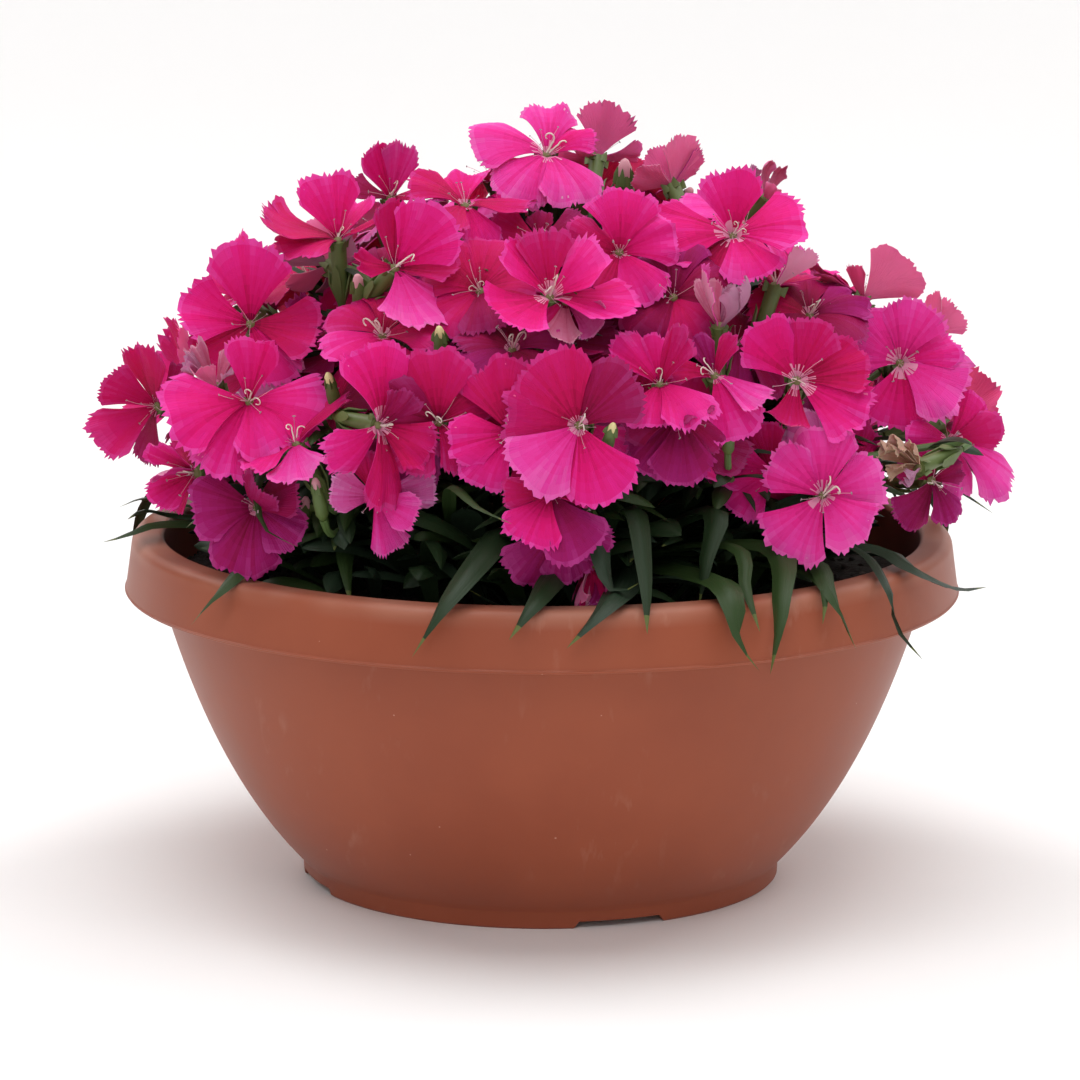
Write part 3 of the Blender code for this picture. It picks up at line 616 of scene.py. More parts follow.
def makePlantTree():
    inputs = [("Geometry", "Geometry"), ("Shape", "Object"), ("Size", "Float", 1.0)]
    inputs += [("Body Finish", "Material"), ("Tip Finish", "Material")]
    tree, given, out = newTree("plantOnPoints", "GeometryNodeTree", inputs, [("Geometry", "Geometry")])
    links = {"Axis": (0, 0, 1), "Angle": named(tree, "spin")}
    turned = addNode(tree, "FunctionNodeAxisAngleToRotation", links).outputs[0]
    links = {"Vector": named(tree, "aim", "FLOAT_VECTOR")}
    aimed = addNode(tree, "FunctionNodeAlignRotationToVector", links, axis="Z").outputs[0]
    links = {"Rotation": aimed, "Rotate By": turned}
    both = addNode(tree, "FunctionNodeRotateRotation", links, rotation_space="LOCAL").outputs[0]
    shape = addNode(tree, "GeometryNodeObjectInfo", {"Object": given["Shape"]}).outputs["Geometry"]
    points = addNode(tree, "GeometryNodeMeshToPoints", {"Mesh": given["Geometry"]}).outputs[0]
    scale = product(tree, named(tree, "size"), given["Size"])
    links = {"Points": points, "Instance": shape, "Rotation": both, "Scale": scale}
    placed = realised(tree, addNode(tree, "GeometryNodeInstanceOnPoints", links).outputs[0])
    body = coated(tree, placed, given["Body Finish"])
    tips = isAbove(tree, named(tree, "tipPart"), 0.5)
    tree.links.new(coated(tree, body, given["Tip Finish"], tips), out.inputs[0])
    return tree


def makeStemTree():
    inputs = [("Geometry", "Geometry"), ("Sides", "Int", 8), ("Finish", "Material")]
    tree, given, out = newTree("sweptStems", "GeometryNodeTree", inputs, [("Geometry", "Geometry")])
    links = {"Resolution": given["Sides"], "Radius": mm}
    ring = addNode(tree, "GeometryNodeCurvePrimitiveCircle", links).outputs[0]
    stems = swept(tree, curveOf(tree, given["Geometry"]), ring, "thick")
    tree.links.new(coated(tree, stems, given["Finish"]), out.inputs[0])
    return tree


def makeStrapTree():
    inputs = [("Geometry", "Geometry"), ("Section", "Object"), ("Tip Share", "Float", 0.94)]
    inputs += [(tint + " Finish", "Material") for tint in ("Dark", "Fresh", "Blue", "Tip")]
    tree, given, out = newTree("sweptStraps", "GeometryNodeTree", inputs, [("Geometry", "Geometry")])
    path = curveOf(tree, given["Geometry"])
    level = addNode(tree, "GeometryNodeSetCurveNormal", {"Curve": path}, mode="Z_UP").outputs[0]
    links = {"Curve": level, "Tilt": named(tree, "roll")}
    rolled = addNode(tree, "GeometryNodeSetCurveTilt", links).outputs[0]
    section = addNode(tree, "GeometryNodeObjectInfo", {"Object": given["Section"]}).outputs["Geometry"]
    last = coated(tree, swept(tree, rolled, curveOf(tree, section), "half"), given["Dark Finish"])
    for number, tint in enumerate(("Fresh", "Blue")):
        chosen = isAbove(tree, named(tree, "tint"), number + 0.5)
        last = coated(tree, last, given[tint + " Finish"], chosen)
    tips = isAbove(tree, named(tree, "along"), given["Tip Share"])
    tree.links.new(coated(tree, last, given["Tip Finish"], tips), out.inputs[0])
    return tree


plantTree = makePlantTree()
stemTree = makeStemTree()
strapTree = makeStrapTree()


def runTree(name, draft, tree, values):  # the plain mesh that the tree makes of the draft
    holder = addObject(name, draft)
    grower = holder.modifiers.new("grow", "NODES")
    grower.node_group = tree
    for label, value in values.items():
        grower[tree.interface.items_tree[label].identifier] = value
    mesh = plainMesh(holder)
    holder.modifiers.remove(grower)
    bpy.data.objects.remove(holder)
    mesh.name = name
    return mesh


def draftMesh(points, edges, **attributes):
    mesh = bpy.data.meshes.new("draft")
    mesh.from_pydata([spot * mm for spot in points], edges, [])
    for name, values in attributes.items():
        isVector = isinstance(values[0], Vector)
        kind = "FLOAT_VECTOR" if isVector else "FLOAT"
        data = mesh.attributes.new(name, kind, "POINT").data
        flat = [part for value in values for part in value] if isVector else values
        data.foreach_set("vector" if isVector else "value", flat)
    return mesh


def sweepStems(name, stems, sides, finish):  # stems: a path each, and a radius for each of its points
    points, edges, thick = [], [], []
    for path, radii in stems:
        edges += [(len(points) + i, len(points) + i + 1) for i in range(len(path) - 1)]
        points += path
        thick += radii
    mesh = runTree(name, draftMesh(points, edges, thick=thick), stemTree, {"Sides": sides, "Finish": finish})
    pointOutwards(mesh)
    smooth(mesh, 50)
    return mesh


def plantShapes(name, shape, rows, body, tip):  # rows: place, aim, spin and size
    places, aims, spins, sizes = zip(*rows)
    draft = draftMesh(places, [], aim=list(aims), spin=list(spins), size=list(sizes))
    model = bpy.data.objects.new("model", shape)
    values = {"Shape": model, "Body Finish": body, "Tip Finish": tip}
    mesh = runTree(name, draft, plantTree, values)
    bpy.data.objects.remove(model)
    smooth(mesh, 50)
    return mesh


def makeCrumbs(bed, soil):  # loose on the top of the growing medium
    rng = random.Random(compost["seed"])
    top = [face for face in bed.polygons if face.normal.z > 0.5 and face.center.z > 0.08]
    area = sum(face.area for face in top)
    weights = [face.area for face in top]
    rows = []
    for face in rng.choices(top, weights, k=int(area * compost["crumbs"])):
        corners = [bed.vertices[i].co for i in face.vertices]
        a, b = rng.random(), rng.random()
        near = corners[0].lerp(corners[1], a)
        far = corners[-1].lerp(corners[2], a) if len(corners) > 3 else corners[-1]
        aim = Vector([rng.gauss(0, 1) for _ in range(3)]).normalized()
        spin = rng.uniform(0, wholeTurn)
        size = rng.uniform(*compost["crumbSize"]) * rng.random() ** 0.7
        rows.append((near.lerp(far, b) / mm, aim, spin, size))
    shape = bmesh.new()
    bmesh.ops.create_icosphere(shape, subdivisions=1, radius=0.5 * mm)
    for vertex in shape.verts:
        vertex.co *= 0.7 + 0.5 * rng.random()
        vertex.co.z *= 0.65
    crumb = bpy.data.meshes.new("crumb")
    shape.to_mesh(crumb)
    shape.free()
    mesh = plantShapes("compostCrumbs", crumb, rows, soil, soil)
    mesh.materials.clear()
    addPiece("compostCrumbs", mesh, [soil])


# Woody crown and main stems

crown = {
    "footRadius": 15.0,
    "knob": (0, 0, 95),
    "knobRadius": 11.0,
    "steps": 48,
    "relief": 0.55,
    "barkScale": (0.35, 0.35, 0.09),
    "grain": (600.0, 180.0),
    "colour": (0.12, 0.085, 0.045),
    "creviceColour": (0.03, 0.022, 0.014),
}
dome = {"centre": (1.5, 0, 106), "radii": (112, 106, 98)}
boughs = {
    "reach": 0.45,
    "stemReach": 0.7,
    "radii": (2.3, 1.5),
    "stemRadii": (1.5, 1.2),
    "gap": 0.35,
    "points": 22,
    "jointSpacing": 19.0,
    "jointSwell": 0.32,
    "jointWidth": 0.09,
    "colour": (0.085, 0.15, 0.04),
}
massSides = {  # how high each ring of masses aims, and its masses, anticlockwise from the front
    "upper_": (50, ("front", "right", "back", "left")),
    "low_": (12, ("front", "front_right", "right", "back_right", "back", "back_left", "left", "front_left")),
}
masses = {"top": (0, 90)}
for ring, (height, sides) in massSides.items():
    masses |= {ring + side: (i * 360 // len(sides), height) for i, side in enumerate(sides)}
crownKnob = Vector(crown["knob"])
domeCentre = Vector(dome["centre"])


def makeCrown():
    foot = compost["top"] + boughs["gap"]
    rise = crownKnob.z
    radius = crown["knobRadius"]
    knob = [math.radians(9 * i) for i in range(13)]
    profile = [(radius * math.sin(a), rise + radius * math.cos(a)) for a in knob]
    profile += [(crown["footRadius"] - 2.6, foot + 2.2), (crown["footRadius"] - 1.2, foot + 0.8)]
    profile += [(crown["footRadius"], foot), (0, foot)]

    def bark(spot, row):
        away = Vector((spot.x, spot.y, 0))
        if away.length < 0.5 or row > 14:
            return spot
        ridges = noise.ridged_multi_fractal(spot * Vector(crown["barkScale"]), 1.0, 2.0, 3, 1.0, 2.0)
        return spot - away.normalized() * crown["relief"] * (1.4 - ridges)

    mesh = lathe("crownStem", profile, crown["steps"], bark)
    smooth(mesh, 60)
    wood, tree, shader = newFinish("woodyBark", crown["colour"])
    _, grain, blotch = objectGrain(tree, *crown["grain"])
    colour = mixColours(tree, blotch, crown["creviceColour"], crown["colour"])
    tree.links.new(colour, shader.inputs["Base Color"])
    roughen(tree, shader, grain, blotch, (0.75, 0.95), 0.7, 0.8)
    addPiece("crownStem", mesh, [wood], ["crown_stem"])


def onDome(direction, share):
    return domeCentre + Vector(d * r for d, r in zip(direction, dome["radii"])) * share


def boughEnds(direction):
    tip = onDome(direction, boughs["reach"])
    away = (tip - crownKnob).normalized()
    root = crownKnob + away * (crown["knobRadius"] + boughs["gap"])
    pull = (tip - root).length / 3
    return [root, root + away * pull, tip - direction * pull, tip]


def jointedRadii(path, radii):  # a taper with the swollen joints of a dianthus stem
    steps = [0.0]
    for a, b in zip(path, path[1:]):
        steps.append(steps[-1] + (b - a).length)
    result = []
    for length in steps:
        share = length / steps[-1]
        phase = (length / boughs["jointSpacing"]) % 1.0
        swell = math.exp(-(((phase - 0.5) / boughs["jointWidth"]) ** 2)) * boughs["jointSwell"]
        result.append((radii[0] + (radii[1] - radii[0]) * share) * (1 + swell))
    return result


def makeMainStems(finish):
    stems = []
    for turn, height in masses.values():
        ends = boughEnds(facing(turn, height))
        path = [bezier(ends, i / (boughs["points"] - 1)) for i in range(boughs["points"])]
        stems.append((path, jointedRadii(path, boughs["radii"])))
    mesh = sweepStems("mainStems", stems, 10, finish)
    addPiece("mainStems", mesh, [], nodesCalled("stem_"))


# Blooms

# Seen blooms: throat (x, y, z), turn and tip of the face, spin of the petals, radius, cup, tint
seenBlooms = {
    "right_edge": (110.5, -35, 128, 42, 15, 10, 21, 8, "pale"),
    "left_edge": (-106, -22, 134, -43, 8, 20, 21, 18, "crimson"),
    "crest": (1, -20, 204, 20, 58, 12, 24, -13, "bright"),
    "centre": (9, -103, 143, -5, 12, -33, 25, 0, "crimson"),
    "left_open": (-77, -69, 144, -5, 42, 0, 23, -7, "bright"),
    "right_low": (73, -80, 121, 0, 12, 2, 21, 5, "pale"),
    "right_open": (96, -33, 149, 5, 25, 8, 20.5, 8, "pale"),
    "upper_right": (50, -49, 186, 0, 50, -3, 24, 8, "bright"),
    "front_high": (2, -79, 174, 19, 60, 30, 23.5, 19, "bright"),
    "left_high": (-78, -46, 161, -5, 35, 0, 22, 15, "bright"),
    "upper_left": (-38, -65, 179, 35, 38, -3, 22, 14, "bright"),
    "left_centre": (-41, -94, 141, 40, 0, -15, 24, -12, "crimson"),
    "right_mid": (66, -75, 151, 0, 30, 5, 21, 14, "bright"),
    "right_centre": (30, -90, 153, -5, 60, 36, 20, 8, "bright"),
    "left_peak": (-55, -34, 183, -15, 80, 10, 22, 21, "bright"),
    "front_peak": (-21, -40, 193, 0, 73, 0, 21, 0, "crimson"),
    "left_low": (-75, -73, 116, -5, 20, -23, 20.5, -25, "violet"),
    "right_nodding": (35, -91, 144, 0, 40, 0, 20, -50, "violet"),
    "centre_under": (2, -104, 126, 0, 40, 0, 19, -35, "bright"),
    "centre_behind": (-8, -97, 140, -15, 15, -22, 23, 0, "crimson"),
    "centre_left": (-27, -91, 142, -5, 20, 5, 20.5, 5, "crimson"),
    "left_pale": (-43, -91, 122, 0, 0, -28, 18, -10, "lilac"),
    "left_low_side": (-94, -48, 120, -50, -5, 0, 20, 15, "bright"),
    "left_edgewise": (-65, -78, 135, -60, 60, 20, 19, 0, "bright"),
    "right_edgewise": (44, -82, 154, -20, 55, 0, 18, 10, "bright"),
    "right_closing": (46, -72, 166, 0, 75, 0, 16, 60, "faded"),
    "right_shoulder": (62, -45, 173, 120, 70, 10, 17, 30, "pale"),
    "right_high_side": (87, -25, 166, 140, 45, 0, 20, 35, "crimson"),
    "peak_side": (34, -12, 195, -150, 45, 0, 17, 30, "pale"),
    "peak_spent": (62, 5, 190, 60, 50, 0, 11, 30, "faded"),
    "crest_back": (15, 18, 199, 170, 45, 30, 19, 20, "violet"),
    "left_peak_back": (-41.5, -5, 190.5, 10, 60, 20, 20, 30, "crimson"),
    "left_peak_spent": (-59, -20, 173, -140, 10, 0, 14, 20, "faded"),
    "right_high_back": (107, -8, 154, 120, 30, 0, 19, 10, "violet"),
    "front_high_behind": (20, -59, 182, 5, 25, 0, 20, 5, "bright"),
    "right_edge_low": (105, -46, 119, 35, 10, 30, 19, -25, "violet"),
    "centre_low": (5, -98, 117, 0, 10, 20, 19, -25, "violet"),
    "crest_under": (-1, -43, 183, 0, 38, 0, 18, 5, "crimson"),
    "right_low_behind": (60, -68, 125, -20, 10, 0, 18, 0, "pale"),
    "left_tucked": (-42, -69, 162, -5, 60, 20, 19, 5, "crimson"),
    "front_shade": (-17, -65, 173, -20, 45, 0, 18, 5, "crimson"),
    "front_tucked": (-8, -79, 160, 0, 60, 0, 17, 10, "dusky"),
    "right_shade": (34, -63, 171, 0, 35, 0, 18, 5, "dusky"),
    "right_tucked": (71, -42, 164, 10, 60, 0, 19, 5, "dusky"),
    "spent_middle": (6, -80, 171, 5, -10, 0, 14, 20, "faded"),
    "shrivelled_left": (-87, -58, 147, -40, 60, 10, 12, 10, "spent"),
    "withered_right": (97.5, -64, 125, -42, -8, 0, 11, 5, "tan"),
    "low_spent": (13, -98, 104, 5, -50, 0, 14, 20, "spent"),
}
# Petals seen one by one, from the throat to the tip: right, up, towards the viewer, tint, half angle, roll.
# Their tints carry painted light and shade: pale on petals where strong light falls, as on the crest, and
# dusky and violet on petals in shade
seenPetals = {
    "withered_right": [
        (-10, 7, 3, "tan", 26, -50),
        (-7, 9, 4, "tan", 24, -60),
        (-2, 8, 5, "tan", 22, -50),
        (-9, 1, 6, "tan", 26, -40),
        (-4, -3, 8, "spent", 22, -40),
    ],
    "crest_under": [
        (-14, 5, 0, "crimson", 40, 5),
        (0, 8, -5, "dusky", 40, 0),
        (14, 5, -1, "dusky", 40, 5),
        (8, -11, 8, "crimson", 38, 10),
        (-8, -11, 8, "crimson", 38, 10),
    ],
    "spent_middle": [
        (10, -6, 8, "lilac", 36, -20),
        (-1, -10, 8, "faded", 34, -20),
        (-6, -6, 6, "crimson", 30, 0),
        (0, 6, -4, "dusky", 30, 0),
        (6, 5, -4, "dusky", 30, 0),
    ],
    "centre": [
        (-10, 19, -3, "crimson", 46, 5),
        (15, 14, 0, "dusky", 46, 5),
        (9, -19, 8, "bright", 40, 6),
        (-15, -14, 9, "pale", 40, 8),
        (-20, 3, -4, "crimson", 38, 10),
    ],
    "centre_behind": [
        (-6, 20, -3, "crimson", 42, 10),
        (-18, -3, 3, "bright", 40, 10),
        (-11, -14, 4, "bright", 38, 15),
        (10, 14, -4, "crimson", 38, 0),
        (9, -15, 0, "crimson", 38, 10),
    ],
    "centre_left": [
        (0, 20, -2, "crimson", 42, 15),
        (-15, 9, 2, "dusky", 38, 5),
        (-10, -13, 4, "crimson", 38, 10),
        (8, -12, 2, "crimson", 36, 10),
        (14, 8, -2, "crimson", 36, 10),
    ],
    "left_high": [
        (0, 23, -2, "bright", 44, 5),
        (-19, 5, 4, "bright", 42, 10),
        (-14, -13, 6, "crimson", 36, 10),
        (19, -2, 3, "crimson", 42, 15),
        (9, -15, 8, "bright", 38, 20),
    ],
    "left_open": [
        (1, 18, 4, "bright", 36, -45),
        (-23, -3, 6, "bright", 44, 10),
        (-9, -19, 9, "bright", 36, 10),
        (7, -13, 14, "bright", 38, 25),
        (22, -2, 4, "bright", 42, 15),
    ],
    "left_edge": [
        (-4, 18, 2, "crimson", 42, 0),
        (-15, 8, 3, "crimson", 34, 0),
        (-17, -10, 5, "crimson", 36, 15),
        (9, 11, 9, "dusky", 28, 0),
        (-3, -17, -7, "dusky", 24, 0),
    ],
    "left_low": [
        (-19, 0, 2, "violet", 46, 15),
        (-5, -19, 6, "violet", 44, 10),
        (12, -9, 6, "violet", 44, 10),
        (2, 9, 14, "dusky", 36, 0),
        (13, 8, 9, "dusky", 36, 0),
    ],
    "left_peak": [
        (-21, 7, 3, "crimson", 46, -50),
        (-5, 18, -6, "bright", 42, 5),
        (-13, -4, 13, "crimson", 42, 10),
        (17, 8, 5, "crimson", 38, -20),
        (5, 9, -14, "bright", 34, 0),
    ],
    "left_peak_back": [
        (-6, 15, 3, "bright", 32, -10),
        (4, 16, 1, "pale", 30, -10),
        (-12, 3, 0, "dusky", 34, 0),
        (11, 2, 2, "crimson", 34, 0),
        (0, -5, 9, "crimson", 34, 0),
    ],
    "left_pale": [
        (-13, 2, 3, "lilac", 42, 10),
        (5, -16, 3, "pale", 25, 0),
        (12, -5, 7, "pale", 34, 20),
        (17, 3, 0, "lilac", 26, 10),
        (-4, 12, -3, "crimson", 30, 0),
    ],
    "left_edgewise": [
        (-13, -6, 7, "bright", 42, -20),
        (15, 13, -2, "crimson", 28, 0),
        (2, -8, 15, "pale", 40, 0),
        (-8, 7, -9, "crimson", 34, 0),
        (5, 8, -12, "crimson", 34, 0),
    ],
    "right_edgewise": [
        (5, 12, 0, "crimson", 27, 0),
        (-5, 11, -3, "violet", 27, 0),
        (13, -6, 7, "pale", 28, -45),
        (7, -17, 6, "bright", 38, 0),
        (-13, 3, 3, "crimson", 30, 0),
    ],
    "front_high_behind": [
        (1, 18, -4, "bright", 46, 0),
        (16, 5, 0, "bright", 38, 10),
        (-15, 5, -2, "crimson", 36, 0),
        (9, -13, 10, "bright", 38, 10),
        (-9, -13, 10, "crimson", 36, 0),
    ],
    "right_edge": [
        (8, 13, -4, "bright", 36, 0),
        (16, 4, -4, "crimson", 30, 0),
        (18.5, -14, 0, "pale", 30, 0),
        (3, -16, 5, "pale", 34, 0),
        (-13, 2, 6, "bright", 36, 10),
    ],
    "right_edge_low": [
        (-9, -12, 3, "violet", 40, 0),
        (6, -12, 1, "violet", 40, 0),
        (-10, 4, -2, "dusky", 34, 0),
        (9, 3, -5, "dusky", 34, 0),
        (0, 9, 2, "dusky", 30, 0),
    ],
    "right_low_behind": [
        (-15, 3, 3, "bright", 40, 0),
        (-12, -11, 4, "bright", 38, 0),
        (-3, 14, -2, "crimson", 34, 0),
        (9, 3, -9, "crimson", 34, 0),
        (4, -9, -8, "crimson", 34, 0),
    ],
    "peak_spent": [
        (6, 9, 0, "faded", 16, -80),
        (2, 11, -2, "faded", 14, -80),
        (3, 4, 5, "faded", 36, -30),
        (-4, 8, -5, "spent", 16, -60),
        (0, 5, -8, "spent", 16, -60),
    ],
    "right_high_back": [
        (9, 7, 0, "faded", 44, 0),
        (2, 12, -2, "faded", 40, 0),
        (-8, 3, -8, "crimson", 34, 0),
        (4, -8, -8, "crimson", 34, 0),
        (-5, -6, -10, "crimson", 34, 0),
    ],
    "upper_left": [
        (14, 15, 0, "bright", 50, 10),
        (-2, 18, -3, "crimson", 26, 0),
        (-10, 3, 8, "crimson", 32, -30),
        (11, -15, 10, "pale", 60, -5),
        (17, 2, -2, "crimson", 34, 0),
    ],
    "front_peak": [
        (-3, 7, -14, "bright", 40, 10),
        (-16, 7, -2, "crimson", 38, 10),
        (-7, -6, 14, "crimson", 36, 10),
        (6, -12, 9, "bright", 38, 10),
        (18, 0, 3, "crimson", 34, -30),
    ],
    # The crest's petals are pale where the strongest light falls on top of the dome: painted light
    "crest": [
        (-22, 4, 2, "pale", 38, 5),
        (1, 13, -13, "pale", 36, 0),
        (13, 6, -6, "bright", 40, 15),
        (-10, -12, 14, "pale", 42, 12),
        (10, -13, 13, "pale", 44, 15),
    ],
    "crest_back": [
        (4, 16, 0, "violet", 46, -10),
        (-5, 2, 8, "faded", 22, -60),
        (12, -1, -6, "violet", 30, 0),
        (4, -2, -15, "violet", 34, 0),
        (-12, -3, -4, "violet", 30, 0),
    ],
    "front_high": [
        (-12, 15, 0, "bright", 38, 0),
        (-3, 18, -5, "crimson", 34, 0),
        (15, 13, 2, "bright", 46, 10),
        (23, -3, 6, "bright", 42, 10),
        (-13, -5, 15, "bright", 44, 10),
    ],
    "upper_right": [
        (-1, 19, -3, "bright", 42, 0),
        (20, 4, 2, "bright", 46, 10),
        (6, -11, 14, "bright", 38, 20),
        (-23, -1, 3, "bright", 44, 10),
        (-13, -13, 6, "crimson", 38, 10),
    ],
    "peak_side": [
        (4, 14, 0, "faded", 42, -10),
        (-10, 4, 4, "faded", 46, -30),
        (-5, 11, -3, "violet", 42, 0),
        (9, 8, -6, "violet", 36, 0),
        (0, -2, -14, "violet", 34, 0),
    ],
    "right_closing": [
        (-5, 16, 5, "pale", 40, -10),
        (7, 14, 5, "spent", 24, -60),
        (3, 12, 7, "spent", 18, -80),
        (-5, 12, -6, "faded", 26, 0),
        (5, 10, -8, "spent", 24, 0),
    ],
    "right_high_side": [
        (13, 11, 4, "faded", 48, 15),
        (-3, 10, 3, "crimson", 28, 0),
        (-14, 7, 4, "dusky", 18, 0),
        (12, 0, -10, "crimson", 36, 0),
        (-4, 2, -15, "crimson", 36, 0),
    ],
    "right_shoulder": [
        (10, 10, 3, "pale", 34, -15),
        (-6, 7, -8, "crimson", 34, 0),
        (11, 1, -8, "crimson", 34, 0),
        (2, -2, -14, "crimson", 34, 0),
        (-11, 1, -8, "crimson", 34, 0),
    ],
    "right_open": [
        (-17, 9, 2, "pale", 52, 10),
        (5, 18, -2, "pale", 44, 0),
        (16, 6, -3, "bright", 36, 5),
        (18, -10, 5, "pale", 48, 5),
        (-2, -18, 6, "bright", 50, 10),
    ],
    "right_mid": [
        (-12, 15, 0, "bright", 44, 5),
        (6, 16, -2, "crimson", 40, 5),
        (18, -10, 5, "bright", 38, 10),
        (-3, -10, 12, "crimson", 30, -75),
        (19, 5, -2, "crimson", 36, 0),
    ],
    "right_centre": [
        (-12, 13, -2, "bright", 34, 0),
        (-3, 13, -5, "bright", 32, 0),
        (6, 16, 2, "crimson", 32, -20),
        (11, -9, 13, "bright", 40, 30),
        (-5, -10, 12, "bright", 36, 20),
    ],
    "right_nodding": [
        (-11, -14, 2, "violet", 42, 5),
        (1, -18, 7, "violet", 42, 10),
        (12, -8, -2, "dusky", 36, 0),
        (-15, -3, 0, "dusky", 34, 0),
        (5, 3, 14, "dusky", 34, 20),
    ],
    "right_low": [
        (-15, 12, 2, "pale", 38, 0),
        (1, 20, 0, "pale", 36, 5),
        (17, 6, 1, "pale", 40, 0),
        (12, -12, 8, "pale", 38, 70),
        (-12, -16, 5, "pale", 42, 5),
    ],
    "left_centre": [
        (-3, 22, -2, "bright", 42, 0),
        (9, 10, 3, "dusky", 34, 10),
        (1, -22, 6, "crimson", 26, 5),
        (-15, -9, 6, "bright", 36, 0),
        (15, -8, 3, "crimson", 36, 10),
    ],
    "centre_under": [
        (-7, -12, 9, "bright", 44, 20),
        (9, -16, 6, "violet", 44, 15),
        (13, 1, 1, "crimson", 34, 0),
        (-13, 1, 1, "crimson", 34, 0),
        (0, 6, -11, "dusky", 30, 0),
    ],
    "low_spent": [
        (1, -13, 2, "crimson", 26, 0),
        (-4, -11, 5, "faded", 16, -60),
        (5, -10, 4, "violet", 20, -40),
        (-4, -9, -3, "dusky", 30, 0),
        (3, -8, -4, "dusky", 30, 0),
    ],
    "centre_low": [
        (-12, -16, 2, "violet", 34, 5),
        (2, -16, 4, "violet", 36, 5),
        (13, -7, 4, "violet", 36, 0),
        (-12, 1, -3, "dusky", 34, 0),
        (4, 7, -8, "dusky", 34, 0),
    ],
    "left_low_side": [
        (-13, 8, 3, "bright", 34, 0),
        (-12, -8, 4, "bright", 38, 10),
        (-11, 0, 8, "pale", 22, -40),
        (-6, 10, -8, "crimson", 34, 0),
        (-8, -10, -8, "crimson", 34, 0),
    ],
}
bloomRule = {
    "seed": 23,
    "spots": 300,
    "spacing": 25.0,
    "domeShare": 0.94,
    "depths": (0.94, 1.03),
    "turnSpread": 22,
    "tipShare": 0.8,
    "tipSpread": (-12, 22),
    "cupSpread": 22,
    "radius": 21.0,
    "sizeSpread": (0.88, 1.05),
    "tints": ("bright", "bright", "crimson", "crimson", "pale", "violet"),
    "frontLimit": -52.0,
    "lowGap": 126.0,
    "backSink": 12.0,
    "backSpan": (-40, 5),
    "highSpan": (130, 170),
}
underRule = {  # smaller blooms below the outer ones, which close the dome
    "seed": 41,
    "spots": 170,
    "spacing": 17.0,
    "domeShare": 0.9,
    "depths": (0.76, 0.86),
    "radius": 19.0,
    # mostly dark tints for these deep blooms: painted shade of the inside of the dome
    "tints": ("dusky", "crimson", "dusky", "violet"),
}
lifts = (0, -2.5, -5, 2.5, -7.5, -10, 5, -13)  # along the dome's radius, where a bloom has no room
stalks = {
    "roots": 7,
    "rootSpread": 0.8,
    "join": 21.0,
    "radii": (1.25, 0.95),
    "points": 12,
}


def discOf(row):  # a plain copy of the bloom, to see whether it meets another
    place, face, spin, radius, cup = row[:5]
    axes = frameTowards(face)
    rise = math.tan(math.radians(cup)) if cup < 55 else 1.4
    points = [place - face * 2]
    for k in range(10):
        a = math.radians(spin + 36 * k)
        reach = radius * (0.96 if k % 2 == 0 else 0.8) * math.cos(math.atan(rise))
        points.append(place + axes @ Vector((reach * math.sin(a), reach * math.cos(a), reach * rise)))
    faces = [(0, k + 1, (k + 1) % 10 + 1) for k in range(10)]
    return BVHTree.FromPolygons(points, faces)


def seenRows():
    for x, y, z, turn, tip, spin, radius, cup, tint in seenBlooms.values():
        yield (Vector((x, y, z)), facing(turn, tip), spin, radius, cup, tint)


def ruleRows(blooms, rule, rng):  # evenly spread, wherever the dome is still open
    tintRng = random.Random(rule["seed"] + 1)
    for i in range(rule["spots"]):
        height = math.degrees(math.asin(1 - (i + 0.5) / rule["spots"] * rule["domeShare"]))
        turn = i * goldenAngle
        place = onDome(facing(turn, height), rng.uniform(*rule["depths"]))
        spans = ((place.y, bloomRule["backSpan"]), (place.z, bloomRule["highSpan"]))
        behind, above = (clamped((spot - start) / (end - start)) for spot, (start, end) in spans)
        place.z -= bloomRule["backSink"] * (behind * above)
        aside = rng.uniform(-bloomRule["turnSpread"], bloomRule["turnSpread"])
        face = facing(turn + aside, height * bloomRule["tipShare"] + rng.uniform(*bloomRule["tipSpread"]))
        spin = rng.uniform(0, 360 / petalCount)
        radius = rule["radius"] * rng.uniform(*bloomRule["sizeSpread"])
        cup = rng.uniform(-bloomRule["cupSpread"], bloomRule["cupSpread"])
        tint = tintRng.choice(rule["tints"])
        if place.y < bloomRule["frontLimit"] and (rule is bloomRule or place.z < bloomRule["lowGap"]):
            continue
        if all((place - other[0]).length > rule["spacing"] for other in blooms):
            blooms.append((place, face, spin, radius, cup, tint))


def settleBlooms():  # each rule-made bloom is lifted to where it meets the fewest others
    blooms = list(seenRows())
    seenCount = len(blooms)
    ruleRows(blooms, bloomRule, random.Random(bloomRule["seed"]))
    outerCount = len(blooms)
    ruleRows(blooms, underRule, random.Random(underRule["seed"]))
    settled, discs = [], []
    for number, row in enumerate(blooms):
        choices = []
        away = (row[0] - domeCentre).normalized()
        for lift in (0,) if number < seenCount else lifts:
            moved = (row[0] + away * lift, *row[1:])
            disc = discOf(moved)
            met = sum(1 for other in discs if other.overlap(disc))
            choices.append((met, len(choices), moved, disc))
            if met == 0:
                break
        best = min(choices, key=lambda choice: choice[:2])
        settled.append(best[2])
        discs.append(best[3])
    byRule, below = outerCount - seenCount, len(blooms) - outerCount
    print(f"blooms: {seenCount} seen, {byRule} by the rule, {below} below them")
    return settled


